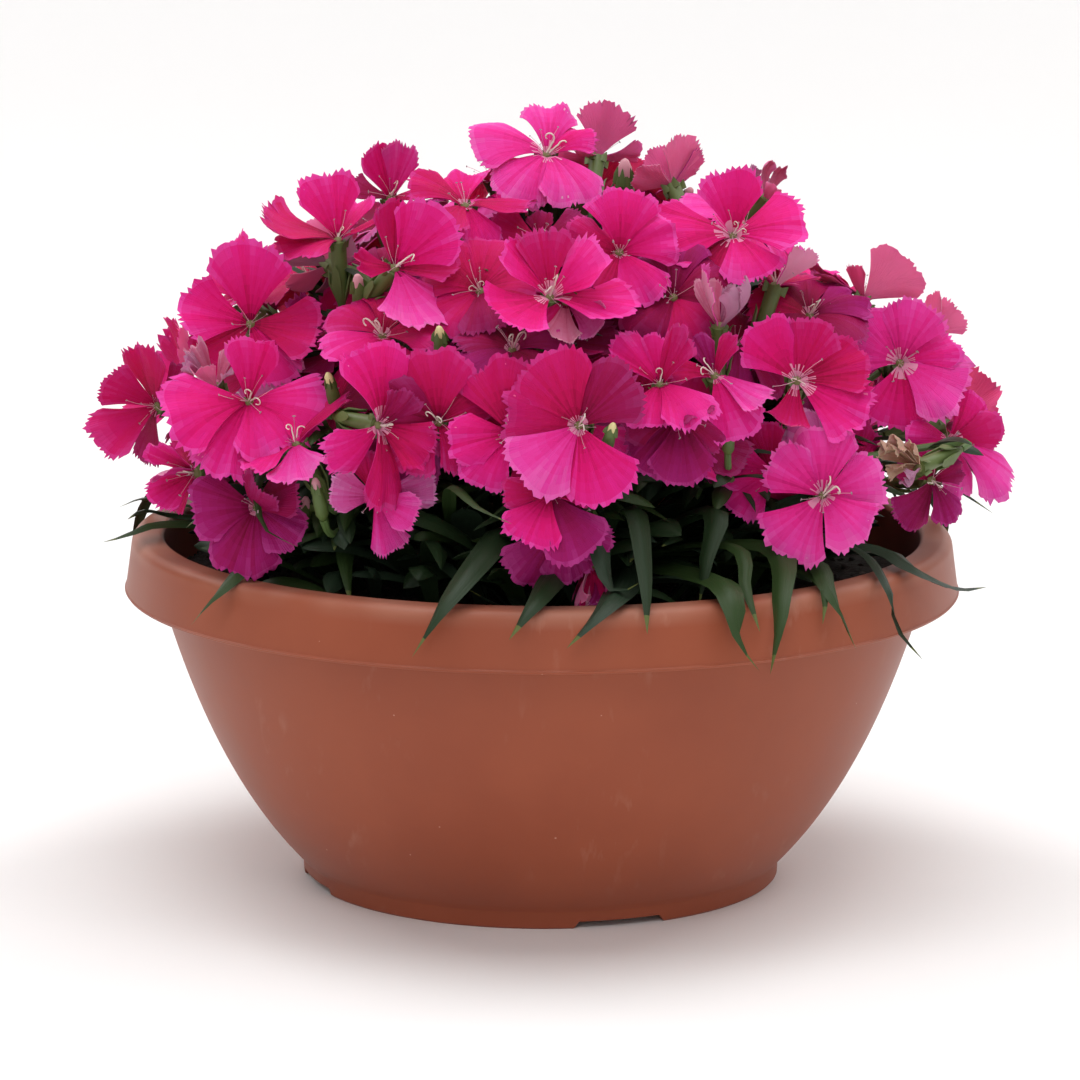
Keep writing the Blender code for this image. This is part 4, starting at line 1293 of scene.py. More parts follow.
petalForm = {
    "rows": 9,
    "strips": 16,
    "bodyShare": 0.92,  # how far out the last full row lies
    "shoulder": (0.14, 0.3),
    "shoulderPower": (2.4, 4.6),
    "seenWidth": 0.9,
    "toneCurve": ((0, 0.2, 0.5, 0.86, 0.96), (0.02, 0.25, 0.43, 0.65, 0.93)),  # share out, and tone
    "claw": 0.75,  # half width where the petal leaves the calyx
    "clawRing": 0.9,
    "clawDepth": 2.2,
    "funnel": 62,
    "funnelShare": 0.055,
    "teeth": (0.01, 0.15),
    "toothWave": (0.15, 0.5),
    "toothRise": (-0.03, 0.04),
    "toothDrift": 0.45,
    "toothing": (0.6, 1.35),
    "smallTeeth": (0.14, 0.55),  # share of petals with small teeth, and how small
    "nicks": 0.06,
    "bendSteps": 40,
    "thickness": (0.32, 0.13),
    "lengthSpread": (0.92, 1.04),
    "clockSpread": 6,
    "archSpread": (-6, 6),
    "rollSpread": (-12, 12),
    "crossSpread": (-0.1, 0.1),
    "twist": (0.02, 0.1),
    "waves": (2.0, 5.0),
    "toneSpread": (-0.8, 0.8),  # in tone levels, and so are the next two
    # upper petals of a bloom are dealt darker tones, as painted shade
    "upperPaintedShade": 0.5,
    "toneSkew": (-1.4, 1.4),
    "throatReach": (0.02, 0.08),
    "throatSpread": (0.1, 1.8),
    "paleReach": 0.15,
    "streaks": 0.9,
    "wilful": 0.13,  # share of petals that stand up or roll over on their own
    "standing": (15, 45),
    "rolledOver": (35, 80),
    "seed": 7,
}
# How the petals of a bloom are held: half angle, lift, arch, roll of the margin, curve across, ruffle
habits = {
    "open": ((37, 43), (-7, 7), (6, 22), (0, 22), (-0.22, 0.12), (0.03, 0.07)),
    "domed": ((38, 44), (-5, 9), (16, 32), (10, 48), (-0.3, -0.02), (0.03, 0.075)),
    "cupped": ((36, 42), (-6, 10), (-18, 6), (-18, 8), (0.02, 0.3), (0.03, 0.065)),
    "closing": ((26, 34), (-6, 10), (-25, 0), (-25, 25), (0.15, 0.5), (0.03, 0.06)),
    "shrivelled": ((17, 28), (20, 62), (-30, 20), (-50, 70), (0.3, 0.9), (0.07, 0.14)),
}
# Tints of a bloom's petals, and the habit that goes with some of them
bloomTints = {
    "bright": ("bright", "bright", "bright", "crimson", "pale"),
    "crimson": ("crimson", "crimson", "crimson", "bright", "dusky"),
    "violet": ("violet", "violet", "violet", "lilac", "crimson"),
    "pale": ("pale", "pale", "bright", "bright", "lilac"),
    "dusky": ("dusky", "dusky", "crimson", "violet"),
    "lilac": ("lilac", "lilac", "violet", "pale"),
    "faded": ("faded", "faded", "spent"),
    "spent": ("spent", "spent", "faded"),
    "tan": ("tan", "tan", "spent"),
}
tintHabits = {"faded": "closing", "spent": "shrivelled", "tan": "shrivelled"}
# Colours of a petal's heart, face, outer part and edge
petalTints = {
    "bright": ((0.5, 0.004, 0.08), (0.7, 0.006, 0.16), (0.74, 0.015, 0.23), (0.78, 0.06, 0.36)),
    "crimson": ((0.34, 0.002, 0.045), (0.53, 0.004, 0.09), (0.55, 0.007, 0.13), (0.58, 0.032, 0.22)),
    # violet: a violet hue, darkened as painted shade for petals that face away from the light
    "violet": ((0.2, 0.003, 0.04), (0.29, 0.005, 0.085), (0.33, 0.01, 0.135), (0.42, 0.038, 0.22)),
    "pale": ((0.6, 0.01, 0.16), (0.78, 0.022, 0.26), (0.8, 0.05, 0.35), (0.82, 0.12, 0.44)),
    # dusky: dark copies of the pinks, as painted shade for petals in shadow and for blooms deep inside the
    # dome
    "dusky": ((0.18, 0.002, 0.027), (0.29, 0.003, 0.056), (0.31, 0.006, 0.084), (0.34, 0.024, 0.14)),
    "lilac": ((0.42, 0.02, 0.15), (0.58, 0.06, 0.28), (0.6, 0.11, 0.35), (0.66, 0.22, 0.47)),
    "faded": ((0.5, 0.08, 0.17), (0.6, 0.13, 0.25), (0.62, 0.18, 0.31), (0.7, 0.3, 0.42)),
    "spent": ((0.24, 0.06, 0.12), (0.36, 0.11, 0.2), (0.4, 0.15, 0.26), (0.5, 0.24, 0.36)),
    "tan": ((0.34, 0.16, 0.1), (0.48, 0.27, 0.17), (0.52, 0.32, 0.22), (0.56, 0.38, 0.28)),
}
# Colours of the petals' undersides: paler than their faces, and lifted further as painted light for the glow
# of light shining through
backTintsAndGlow = {
    "bright": (0.86, 0.14, 0.34),
    "crimson": (0.84, 0.1, 0.28),
    "violet": (0.74, 0.12, 0.32),
    "pale": (0.82, 0.32, 0.5),
    "dusky": (0.44, 0.07, 0.17),
    "lilac": (0.66, 0.25, 0.42),
    "faded": (0.86, 0.17, 0.37),
    "spent": (0.46, 0.2, 0.32),
    "tan": (0.5, 0.3, 0.22),
}
tintNames = list(petalTints)
throatColours = {"paleThroat": (0.82, 0.3, 0.47), "darkThroat": (0.24, 0.003, 0.05)}
# Seen blooms with a pale heart
paleHearts = ("upper_right", "right_mid", "right_open", "front_high", "crest")
paleHearts += ("left_centre", "right_edge", "right_low")
toneLevels = 10
toneKeys = (0, 3, 6, 9)  # the levels at which the heart, face, outer and edge colours lie
tonesPerTint = toneLevels + 1


def toneColour(tint, level):
    colours = petalTints[tint]
    for i in range(len(toneKeys) - 1):
        low, high = toneKeys[i : i + 2]
        if level <= high:
            return tuple(Vector(colours[i]).lerp(Vector(colours[i + 1]), (level - low) / (high - low)))


def petalFinish(name, colour):
    values = {"Subsurface_Weight": 0.25, "Subsurface_Radius": (1.0, 0.2, 0.45)}
    values |= {"Subsurface_Scale": 0.8 * mm, "Specular_IOR_Level": 0.09}
    return ribbedFinish(name, colour, "petalMap", 34.0, 2.5, (0.52, 0.68), 0.8, **values)


def makePetalFinishes():
    finishes = [petalFinish(name, colour) for name, colour in throatColours.items()]
    for tint in tintNames:
        for level in range(toneLevels):
            finishes.append(petalFinish(f"{tint}Petal{level}", toneColour(tint, level)))
        finishes.append(petalFinish(tint + "PetalBackAndGlow", backTintsAndGlow[tint]))
    return finishes


def petalTemplate():  # where each point lies, as a share out and across, and the faces between them
    rows, strips = petalForm["rows"], petalForm["strips"]
    out, across = [], []
    for i in range(rows):
        for j in range(strips + 1):
            out.append(petalForm["bodyShare"] * (i / (rows - 1)) ** 1.05)
            across.append(2 * j / strips - 1)
    margin = rows * (strips + 1)
    tips = 2 * strips
    out += [1.0] * (tips + 1)
    across += [2 * k / tips - 1 for k in range(tips + 1)]
    count = len(out)
    quads, tris = [], []
    for i in range(rows - 1):
        for j in range(strips):
            a = i * (strips + 1) + j
            quads.append((a, a + 1, a + strips + 2, a + strips + 1))
    last = (rows - 1) * (strips + 1)
    for j in range(strips):
        a, b, m = last + j, last + j + 1, margin + 2 * j
        tris += [(a, m + 1, m), (a, b, m + 1), (b, m + 2, m + 1)]
    loop = list(range(strips + 1))
    loop += [i * (strips + 1) + strips for i in range(1, rows)]
    loop += [margin + k for k in range(tips, -1, -1)]
    loop += [i * (strips + 1) for i in range(rows - 1, 0, -1)]
    under = [tuple(reversed([v + count for v in face])) for face in quads + tris]
    rim = [(p, p + count, q + count, q) for p, q in zip(loop, loop[1:] + loop[:1])]
    return np.array(out), np.array(across), {"top": quads + tris, "under": under, "rim": rim}, margin


def heldPetal(row, right, up, forward, tint, half, roll):  # brings the tip to the place where it was seen
    reach = Vector((right, -forward, up))
    local = row["axes"].transposed() @ reach
    return {
        "clock": math.degrees(math.atan2(local.x, local.y)),
        "lift": math.degrees(math.asin(local.z / reach.length)) + 0.05 * row["arch"] + 0.2 * roll,
        "length": reach.length * (1.02 + 0.0012 * abs(roll)) - petalForm["clawRing"],
        "half": half * petalForm["seenWidth"],
        "roll": roll,
        "tint": tintNames.index(tint),
    }


def habitOf(tint, cup, rng):
    if tint in tintHabits:
        return tintHabits[tint]
    if cup > 12:
        return "cupped"
    return "domed" if cup < -8 else rng.choice(("open", "domed"))


def petalRows(blooms, rng):  # one row of values for each petal
    rows, names = [], list(seenBlooms)
    for number, (place, face, spin, radius, cup, tint) in enumerate(blooms):
        half, lift, arch, roll, cross, ruffle = habits[habitOf(tint, cup, rng)]
        shared = {"arch": rng.uniform(*arch), "roll": rng.uniform(*roll), "cross": rng.uniform(*cross)}
        throat = rng.choice((0, 1, 1))
        throatReach = rng.uniform(*petalForm["throatReach"])
        name = names[number] if number < len(names) else None
        seen = seenPetals.get(name)
        if name in paleHearts:
            throat, throatReach = 0, petalForm["paleReach"]
        for k in range(petalCount):
            wilful = rng.random() < petalForm["wilful"] and number >= len(seenBlooms)
            standing = rng.uniform(*petalForm["standing"]) if wilful and rng.random() < 0.5 else 0
            rolledOver = wilful and not standing
            clock = spin + 360 / petalCount * k + rng.uniform(-1, 1) * petalForm["clockSpread"]
            row = {
                "place": place,
                "axes": frameTowards(face),
                "clock": clock,
                "length": radius * rng.uniform(*petalForm["lengthSpread"]),
                "half": rng.uniform(*half),
                "lift": cup + rng.uniform(*lift) + standing,
                "arch": shared["arch"] + rng.uniform(*petalForm["archSpread"]),
                "roll": shared["roll"] + rng.uniform(*petalForm["rollSpread"]),
            }
            row["roll"] += rng.uniform(*petalForm["rolledOver"]) if rolledOver else 0
            row |= {
                "shoulder": rng.uniform(*petalForm["shoulder"]),
                "power": rng.uniform(*petalForm["shoulderPower"]),
                "cross": shared["cross"] + rng.uniform(*petalForm["crossSpread"]),
                "twist": rng.uniform(*petalForm["twist"]),
                "ruffle": rng.uniform(*ruffle),
                "waves": rng.uniform(*petalForm["waves"]),
                "phase": rng.uniform(0, wholeTurn),
            }
            share, small = petalForm["smallTeeth"]
            upward = math.cos(math.radians(clock))
            row |= {
                "toothing": small if rng.random() < share else rng.uniform(*petalForm["toothing"]),
                "tint": tintNames.index(rng.choice(bloomTints[tint])),
                # petals that point up in their bloom take darker tones: painted shade
                "shift": rng.uniform(*petalForm["toneSpread"]) - petalForm["upperPaintedShade"] * upward,
                "skew": rng.uniform(*petalForm["toneSkew"]),
                "throat": throat,
                "throatReach": throatReach,
            }
            rows.append(row | heldPetal(row, *seen[k]) if seen else row)
    return rows


def toothedMargins(column, out, across, margin, rng):  # each point's share out and place across
    count, tips = len(column["phase"]), len(out) - margin
    waves = rng.uniform(*petalForm["toothWave"], (count, 1))
    spread = np.sin(np.arange(tips) * waves + column["phase"]) ** 2
    low, high = petalForm["teeth"]
    depths = (low + (high - low) * rng.random((count, tips)) ** 1.4) * column["toothing"]
    depths *= 0.4 + 0.8 * spread
    depths *= np.where(rng.random((count, tips)) < petalForm["nicks"], 2.0, 1.0)
    heights = rng.uniform(*petalForm["toothRise"], (count, tips)) * column["toothing"]
    ends = np.clip((0.98 - np.abs(across[margin:])) / 0.12, 0, 1)
    radii = np.ones((count, len(out)))
    radii[:, margin:] += np.where(np.arange(tips) % 2 == 0, -depths, heights) * ends
    sideways = np.tile(across, (count, 1))
    drift = rng.uniform(-1, 1, (count, tips)) * petalForm["toothDrift"]
    sideways[:, margin:] += drift * ends / petalForm["strips"]
    return radii, sideways


def bentPoints(column, out, across, radii, sideways):  # the toothed outline, bent along and across
    bent = np.abs(sideways) ** column["power"]
    scallop = 0.035 * np.sin(sideways * column["waves"] * 1.7 + column["phase"] * 2) * out**3
    reach = column["length"] * (1 - column["shoulder"] * bent + scallop) * radii * out
    angle = np.radians(column["half"]) * sideways * (0.66 + 0.34 * out**0.7)
    along = reach * np.cos(angle)
    side = reach * np.sin(angle) + across * petalForm["claw"] * (1 - out)
    share = np.clip(along / column["length"], 0, 1)
    steps = petalForm["bendSteps"]
    ell = np.linspace(0, 1, steps)
    rise = column["lift"] + column["arch"] * (0.6 - 1.3 * ell)
    rise = rise - column["roll"] * np.clip((ell - 0.45) / 0.55, 0, 1) ** 1.3
    rise = rise + petalForm["funnel"] * np.exp(-ell / petalForm["funnelShare"])
    rise = np.radians(np.clip(rise, -150, 150))
    run = np.cumsum(np.cos(rise), 1) * column["length"] / steps
    climb = np.cumsum(np.sin(rise), 1) * column["length"] / steps
    spot = share * (steps - 1)
    low = np.minimum(spot.astype(int), steps - 2)
    part = spot - low

    def between(table):
        first = np.take_along_axis(table, low, 1)
        return first + (np.take_along_axis(table, low + 1, 1) - first) * part

    run, climb, rise = between(run), between(climb), between(rise)
    width = side / (column["length"] * np.sin(np.radians(column["half"])))
    wave = np.sin(column["waves"] * width * 2 + column["phase"]) * column["ruffle"]
    wave += np.sin(11 * width + 3 * column["phase"]) * 0.22 * column["ruffle"]
    cross = share * (column["cross"] * width**2 + column["twist"] * width)
    bulge = column["length"] * (cross + share**2 * wave)
    forward = petalForm["clawRing"] + run - np.sin(rise) * bulge
    top = np.stack([forward, side, climb + np.cos(rise) * bulge - petalForm["clawDepth"]], -1)
    first, last = petalForm["thickness"]
    thick = first + (last - first) * share
    under = top - np.stack([-np.sin(rise) * thick, 0 * thick, np.cos(rise) * thick], -1)
    return np.concatenate([top, under], 1)


def placedPoints(rows, column, local):  # each petal turned by its clock, then to its bloom's face
    clock = np.radians(column["clock"])
    turnedX = local[..., 0] * np.sin(clock) + local[..., 1] * np.cos(clock)
    turnedY = local[..., 0] * np.cos(clock) - local[..., 1] * np.sin(clock)
    local = np.stack([turnedX, turnedY, local[..., 2]], -1)
    axes = np.array([[list(line) for line in row["axes"]] for row in rows])
    places = np.array([list(row["place"]) for row in rows])
    return np.einsum("pij,pvj->pvi", axes, local) + places[:, None]


def dealtTones(column, out, across, faces, rng):  # the material slot of each face
    count, strips = len(column["tint"]), petalForm["strips"]
    streaks = rng.normal(0, petalForm["streaks"], (count, strips)) + column["shift"]
    halo = column["throatReach"] * rng.uniform(*petalForm["throatSpread"], (count, strips))
    throats = column["throat"][:, 0].astype(int)
    tints = len(throatColours) + column["tint"][:, 0].astype(int) * tonesPerTint
    slots = []
    for face in faces["top"]:
        ids = list(face)
        middle, aside = out[ids].mean(), across[ids].mean()
        strip = min(int((aside + 1) / 2 * strips), strips - 1)
        level = toneLevels * np.interp(middle, *petalForm["toneCurve"]) + streaks[:, strip]
        level = np.clip(level + column["skew"][:, 0] * aside * middle, 0, toneLevels - 1).astype(int)
        slots.append(np.where(middle < halo[:, strip], throats, tints + level))
    slots += [tints + toneLevels] * len(faces["under"])
    slots += [tints + toneLevels - 2] * len(faces["rim"])
    return np.stack(slots, 1)


def petalMesh(name, rows, seed):  # thin closed shells, all in one mesh
    out, across, faces, margin = petalTemplate()
    rng = np.random.default_rng(seed)
    keys = [key for key in rows[0] if key not in ("place", "axes")]
    column = {key: np.array([row[key] for row in rows], float)[:, None] for key in keys}
    radii, sideways = toothedMargins(column, out, across, margin, rng)
    points = placedPoints(rows, column, bentPoints(column, out, across, radii, sideways))
    slots = dealtTones(column, out, across, faces, rng)
    return facesToMesh(name, points.reshape(-1, 3) * mm, faces, len(rows), slots, out, across)


def facesToMesh(name, points, faces, copies, slots, out, across):
    each = [face for group in faces.values() for face in group]
    corners, sizes = np.array([v for face in each for v in face]), np.array([len(face) for face in each])
    perCopy = len(points) // copies
    allCorners = (corners[None] + np.arange(copies)[:, None] * perCopy).ravel()
    allSizes = np.tile(sizes, copies)
    mesh = bpy.data.meshes.new(name)
    mesh.vertices.add(len(points))
    mesh.vertices.foreach_set("co", points.ravel())
    mesh.loops.add(len(allCorners))
    mesh.loops.foreach_set("vertex_index", allCorners)
    mesh.polygons.add(len(allSizes))
    starts = np.concatenate([[0], np.cumsum(allSizes)[:-1]])
    mesh.polygons.foreach_set("loop_start", starts)
    mesh.polygons.foreach_set("material_index", slots.ravel())
    ownMap = mesh.uv_layers.new(name="petalMap")
    ids = corners % len(out)
    flat = np.stack([across[ids], out[ids]], 1)
    offsets = np.arange(copies)[:, None, None] * np.array([3.7, 1.3])
    ownMap.data.foreach_set("uv", (flat[None] + offsets).ravel())
    mesh.update(calc_edges=True)
    mesh.validate()
    smooth(mesh, 62)
    return mesh


def makePetals(blooms):
    rows = petalRows(blooms, random.Random(petalForm["seed"]))
    finishes = makePetalFinishes()
    sectors = {"front": [], "right": [], "back": [], "left": []}
    for row in rows:
        turn = math.degrees(math.atan2(row["place"].x, -row["place"].y))
        sectors[list(sectors)[int(((turn + 45) % 360) // 90)]].append(row)
    for seed, (side, own) in enumerate(sectors.items()):
        mesh = petalMesh("petals_" + side, own, seed)
        ends = (side, "top") if side == "front" else side
        nodes = [name for name in nodesCalled("blooms_") if name.endswith(ends)]
        addPiece("petals_" + side, mesh, finishes, nodes)


# Calyces, stamens, styles and buds

calyx = {
    "length": 18.0,
    "mouth": 2.2,
    "waist": 1.9,
    "foot": 1.1,
    "sides": 12,
    "teeth": 5,
    "bracts": 4,
    "colour": (0.1, 0.14, 0.035),
    "bractColour": (0.085, 0.135, 0.03),
    # a dim green-brown, darkened as painted shade deep in the flower's throat
    "throatColour": (0.17, 0.16, 0.055),
}
stamens = {
    "perBloom": 7,
    "styleShare": 0.75,
    "length": (3.5, 8.0),
    "lean": (15, 75),
    "colour": (0.7, 0.36, 0.46),
    "antherColour": (0.36, 0.27, 0.3),
    "styleColour": (0.78, 0.66, 0.6),
    "seed": 11,
}
# Buds: place of the tip, turn and tip of its aim, length, and whether it is still green
seenBuds = [
    ((-27, -80, 165), -10, 70, 13, False),
    ((-56, -76, 152), -20, 60, 12, False),
    ((18, -105, 144), 20, 55, 11, False),
    ((48, -87, 142.5), 0, 65, 11, False),
    ((-49, -56, 175), -10, 60, 15, True),
    ((-59, -86, 126), -30, 70, 12, True),
    ((22, -5, 200), 0, 80, 20, True),
    ((40, -13, 193), 40, 50, 14, True),
    ((-62, -70, 118), 10, 55, 14, True),
]
budRule = {
    "seed": 19,
    "count": 46,
    "domeShare": 0.92,
    "turn": 40,
    "spacing": 12,
    "depths": (0.8, 0.97),
    "upwards": 0.7,
    "aimSpread": 0.25,
    "lengths": (10, 17),
    "greenShare": 0.55,
    "width": 0.155,
    "frontLimit": -25.0,
    "creamColour": (0.72, 0.62, 0.3),
    "blushColour": (0.66, 0.3, 0.36),
    "spinSeed": 29,
}


def partMesh(name, solids):  # solids: points, faces, and whether they take the tip's finish
    points, faces, parts = [], [], []
    for spots, rings, part in solids:
        faces += [tuple(v + len(points) for v in face) for face in rings]
        points += spots
        parts += [part] * len(spots)
    mesh = bpy.data.meshes.new(name)
    mesh.from_pydata([spot * mm for spot in points], [], faces)
    mesh.attributes.new("tipPart", "FLOAT", "POINT").data.foreach_set("value", parts)
    pointOutwards(mesh)
    return mesh


def tubeSolid(path, radii, sides, squash=1.0):  # a closed tube with a radius at each point
    axes = frameTowards((path[1] - path[0]).normalized())
    points, faces = [], []
    for i, (spot, radius) in enumerate(zip(path, radii)):
        along = (path[min(i + 1, len(path) - 1)] - path[max(i - 1, 0)]).normalized()
        axes = axes.col[2].rotation_difference(along).to_matrix() @ axes
        for k in range(sides):
            a = 2 * math.pi * k / sides
            points.append(spot + axes @ Vector((radius * math.sin(a), radius * squash * math.cos(a), 0)))
    for i in range(len(path) - 1):
        for k in range(sides):
            a, b = i * sides + k, i * sides + (k + 1) % sides
            faces.append((a, b, b + sides, a + sides))
    faces.append(tuple(range(sides)))
    faces.append(tuple(range(len(points) - sides, len(points))))
    return points, faces


def calyxMesh():
    up = Vector((0, 0, 1))
    length = calyx["length"]
    heights = (-length - 2.5, -length, -length * 0.85, -length * 0.5, -length * 0.2, -2.2)
    foot, waist, mouth = calyx["foot"], calyx["waist"], calyx["mouth"]
    radii = (0.95, foot + 0.5, waist, waist + 0.2, mouth, mouth + 0.1)
    solids = [(*tubeSolid([up * h for h in heights], radii, calyx["sides"]), 0)]
    plug = [up * -2.9, up * -1.7, up * -1.1]
    solids.append((*tubeSolid(plug, (1.5, 1.3, 0.5), 8), 1))
    for k in range(calyx["teeth"]):
        a = math.radians(36 + 360 * k / calyx["teeth"])
        out = Vector((math.sin(a), math.cos(a), 0))
        path = [out * 2.3 + up * -4.2, out * 2.75 + up * -2.4, out * 3.5 + up * -1.5]
        solids.append((*tubeSolid(path, (1.1, 0.8, 0.12), 4, 0.3), 0))
    for k in range(calyx["bracts"]):
        a = math.radians(90 * k)
        out = Vector((math.sin(a), math.cos(a), 0))
        top = -length * (0.45 if k % 2 else 0.58)
        path = [out * 1.1 - up * (length + 1), out * 2.6 - up * (length - 4)]
        path += [out * 2.9 + up * (top - 1.5), out * 3.5 + up * top]
        solids.append((*tubeSolid(path, (0.7, 1.7, 1.1, 0.1), 6, 0.28), 0))
    return partMesh("calyx", solids)


def filamentMesh():
    path = [Vector((0.0, 1.6 * s * s, 10 * s)) for s in (0, 0.35, 0.7, 1)]
    solids = [(*tubeSolid(path, (0.13, 0.11, 0.1, 0.09), 3), 0)]
    tip = path[-1]
    anther = [tip + Vector((x, 0, 0.1 if abs(x) < 0.5 else 0)) for x in (-0.6, -0.3, 0.3, 0.6)]
    solids.append((*tubeSolid(anther, (0.08, 0.24, 0.24, 0.08), 4), 1))
    return partMesh("filament", solids)


def styleMesh():  # two styles that rise from the throat and curl over at their ends
    solids = []
    for way, height, loop in ((-1, 4.4, 1.5), (1, 5.6, 1.25)):
        path = [Vector((way * (0.3 + 1.1 * s * s), 0.5 * s, height * s)) for s in (0, 0.35, 0.7)]
        centre = path[-1] + Vector((way * loop, 0.2, 0.8))
        for i in range(9):
            a = math.radians(180 - 34 * i)
            size = loop * (1 - 0.06 * i)
            path.append(centre + Vector((way * size * math.cos(a), 0.12 * i, size * math.sin(a))))
        solids.append((*tubeSolid(path, [0.27 - 0.008 * i for i in range(len(path))], 4), 0))
    return partMesh("styles", solids)


def budMesh():  # 10 long, its tip at the origin: a calyx with the furled petals in its mouth
    up = Vector((0, 0, 1))
    half = 10 * budRule["width"]
    green = [up * z for z in (-10.6, -10, -9, -6.5, -3.2, -2.3)]
    solids = [(*tubeSolid(green, (0.5, half * 0.6, half * 0.95, half, half * 0.8, half * 0.66), 10), 0)]
    furled = [up * z for z in (-4, -2.4, -1.2, -0.3, 0)]
    solids.append((*tubeSolid(furled, (half * 0.5, half * 0.68, half * 0.62, half * 0.36, 0.15), 8), 1))
    for k in range(5):
        a = math.radians(72 * k)
        out = Vector((math.sin(a), math.cos(a), 0))
        path = [out * half * 0.8 + up * -3.6, out * half * 0.72 + up * -2.2, out * half * 0.62 + up * -1.2]
        solids.append((*tubeSolid(path, (0.75, 0.6, 0.08), 4, 0.35), 0))
    return partMesh("bud", solids)


def budRows(blooms):
    rng = random.Random(budRule["seed"])
    rows = [(Vector(place), facing(turn, tip), length, green) for place, turn, tip, length, green in seenBuds]
    for i in range(budRule["count"]):
        height = math.degrees(math.asin(1 - (i + 0.5) / budRule["count"] * budRule["domeShare"]))
        direction = facing(i * goldenAngle + budRule["turn"], height)
        place = onDome(direction, rng.uniform(*budRule["depths"]))
        aim = direction + Vector((0, 0, budRule["upwards"]))
        aim = (aim + Vector([rng.gauss(0, budRule["aimSpread"]) for _ in range(3)])).normalized()
        length, green = rng.uniform(*budRule["lengths"]), rng.random() < budRule["greenShare"]
        gaps = [(place - other[0]).length for other in blooms]
        if place.y > budRule["frontLimit"] and min(gaps) > budRule["spacing"]:
            rows.append((place, aim, length, green))
    return rows


def makeBuds(rows):
    rng = random.Random(budRule["spinSeed"])
    green = grainyFinish("budGreen", calyx["bractColour"], 500.0, (0.45, 0.6), 0.25)
    cream = grainyFinish("budCream", budRule["creamColour"], 700.0, (0.5, 0.65), 0.2)
    blush = grainyFinish("budBlush", budRule["blushColour"], 700.0, (0.5, 0.65), 0.2)
    for name, isGreen, tip in (("greenBuds", True, blush), ("creamBuds", False, cream)):
        own = [row for row in rows if row[3] == isGreen]
        own = [(place, aim, rng.uniform(0, wholeTurn), length / 10) for place, aim, length, _ in own]
        mesh = plantShapes(name, budMesh(), own, green, tip)
        addPiece(name, mesh, [])


def makeFlowerHearts(blooms):
    rng = random.Random(stamens["seed"])
    green = grainyFinish("calyxGreen", calyx["colour"], 500.0, (0.45, 0.6), 0.25)
    throat = grainyFinish("shadedThroatGreen", calyx["throatColour"], 500.0, (0.5, 0.65), 0.25)
    rows = [(place, face, rng.uniform(0, wholeTurn), 1.0) for place, face, *_ in blooms]
    mesh = plantShapes("calyces", calyxMesh(), rows, green, throat)
    addPiece("calyces", mesh, [])
    thread = grainyFinish("stamenThread", stamens["colour"], 900.0, (0.5, 0.6), 0.1)
    anther = grainyFinish("antherDust", stamens["antherColour"], 1500.0, (0.8, 0.95), 0.4)
    rows, styleRows = [], []
    for place, face, *_, tint in blooms:
        if tint in tintHabits:
            continue
        axes = frameTowards(face)
        lead = rng.uniform(0, wholeTurn)
        for k in range(stamens["perBloom"]):
            lean = math.radians(rng.uniform(*stamens["lean"]))
            a = lead + 2 * math.pi * k / stamens["perBloom"] + rng.uniform(-0.5, 0.5)
            aim = axes @ Vector((math.sin(lean) * math.sin(a), math.sin(lean) * math.cos(a), math.cos(lean)))
            size = rng.uniform(*stamens["length"]) / 10
            rows.append((place - face * 1.6 + aim * 0.6, aim, rng.uniform(0, wholeTurn), size))
        aside = axes @ Vector((rng.uniform(-0.5, 0.5), rng.uniform(-0.3, 0.6), 0))
        if rng.random() < stamens["styleShare"]:
            aim = (face + aside * 1.4).normalized()
            styleRows.append((place - face * 1.5, aim, rng.uniform(0, wholeTurn), rng.uniform(0.55, 1.05)))
    mesh = plantShapes("stamens", filamentMesh(), rows, thread, anther)
    addPiece("stamens", mesh, [])
    cream = grainyFinish("styleCream", stamens["styleColour"], 900.0, (0.4, 0.5), 0.1)
    mesh = plantShapes("styles", styleMesh(), styleRows, cream, cream)
    addPiece("styles", mesh, [])


def makeStalks(blooms, buds, finish):  # each mass's stem, and a stalk from it to each calyx and bud
    stems, grown, own = [], [], {}
    for side, (turn, height) in masses.items():
        direction = facing(turn, height)
        stem = [onDome(direction, share) for share in (boughs["reach"], boughs["stemReach"])]
        own[side] = (direction, stem)
        path = [stem[0].lerp(stem[1], i / 9) for i in range(10)]
        stems.append((path, jointedRadii(path, boughs["stemRadii"])))
    heads = [(place, face, stalks["join"]) for place, face, *_ in blooms]
    heads += [(place, aim, length * 1.02) for place, aim, length, _ in buds]
    for number, (place, face, join) in enumerate(heads):
        outward = Vector(d / r for d, r in zip(place - domeCentre, dome["radii"])).normalized()
        owner = max(own, key=lambda side: own[side][0].dot(outward))
        stem = own[owner][1]
        share = 1 - stalks["rootSpread"] * (number % stalks["roots"]) / stalks["roots"]
        tip = place - face * join
        root = stem[0].lerp(stem[1], share)
        pull = (tip - root).length / 3
        off = ((tip - root).normalized() * 2 + (stem[1] - stem[0]).normalized()).normalized()
        ends = [root, root + off * pull, tip - face * pull, tip]
        path = [bezier(ends, i / (stalks["points"] - 1)) for i in range(stalks["points"])]
        stems.append((path, jointedRadii(path, stalks["radii"])))
        grown.append(path)
    mesh = sweepStems("flowerStalks", stems, 7, finish)
    addPiece("flowerStalks", mesh, [])
    return grown


# Leaves

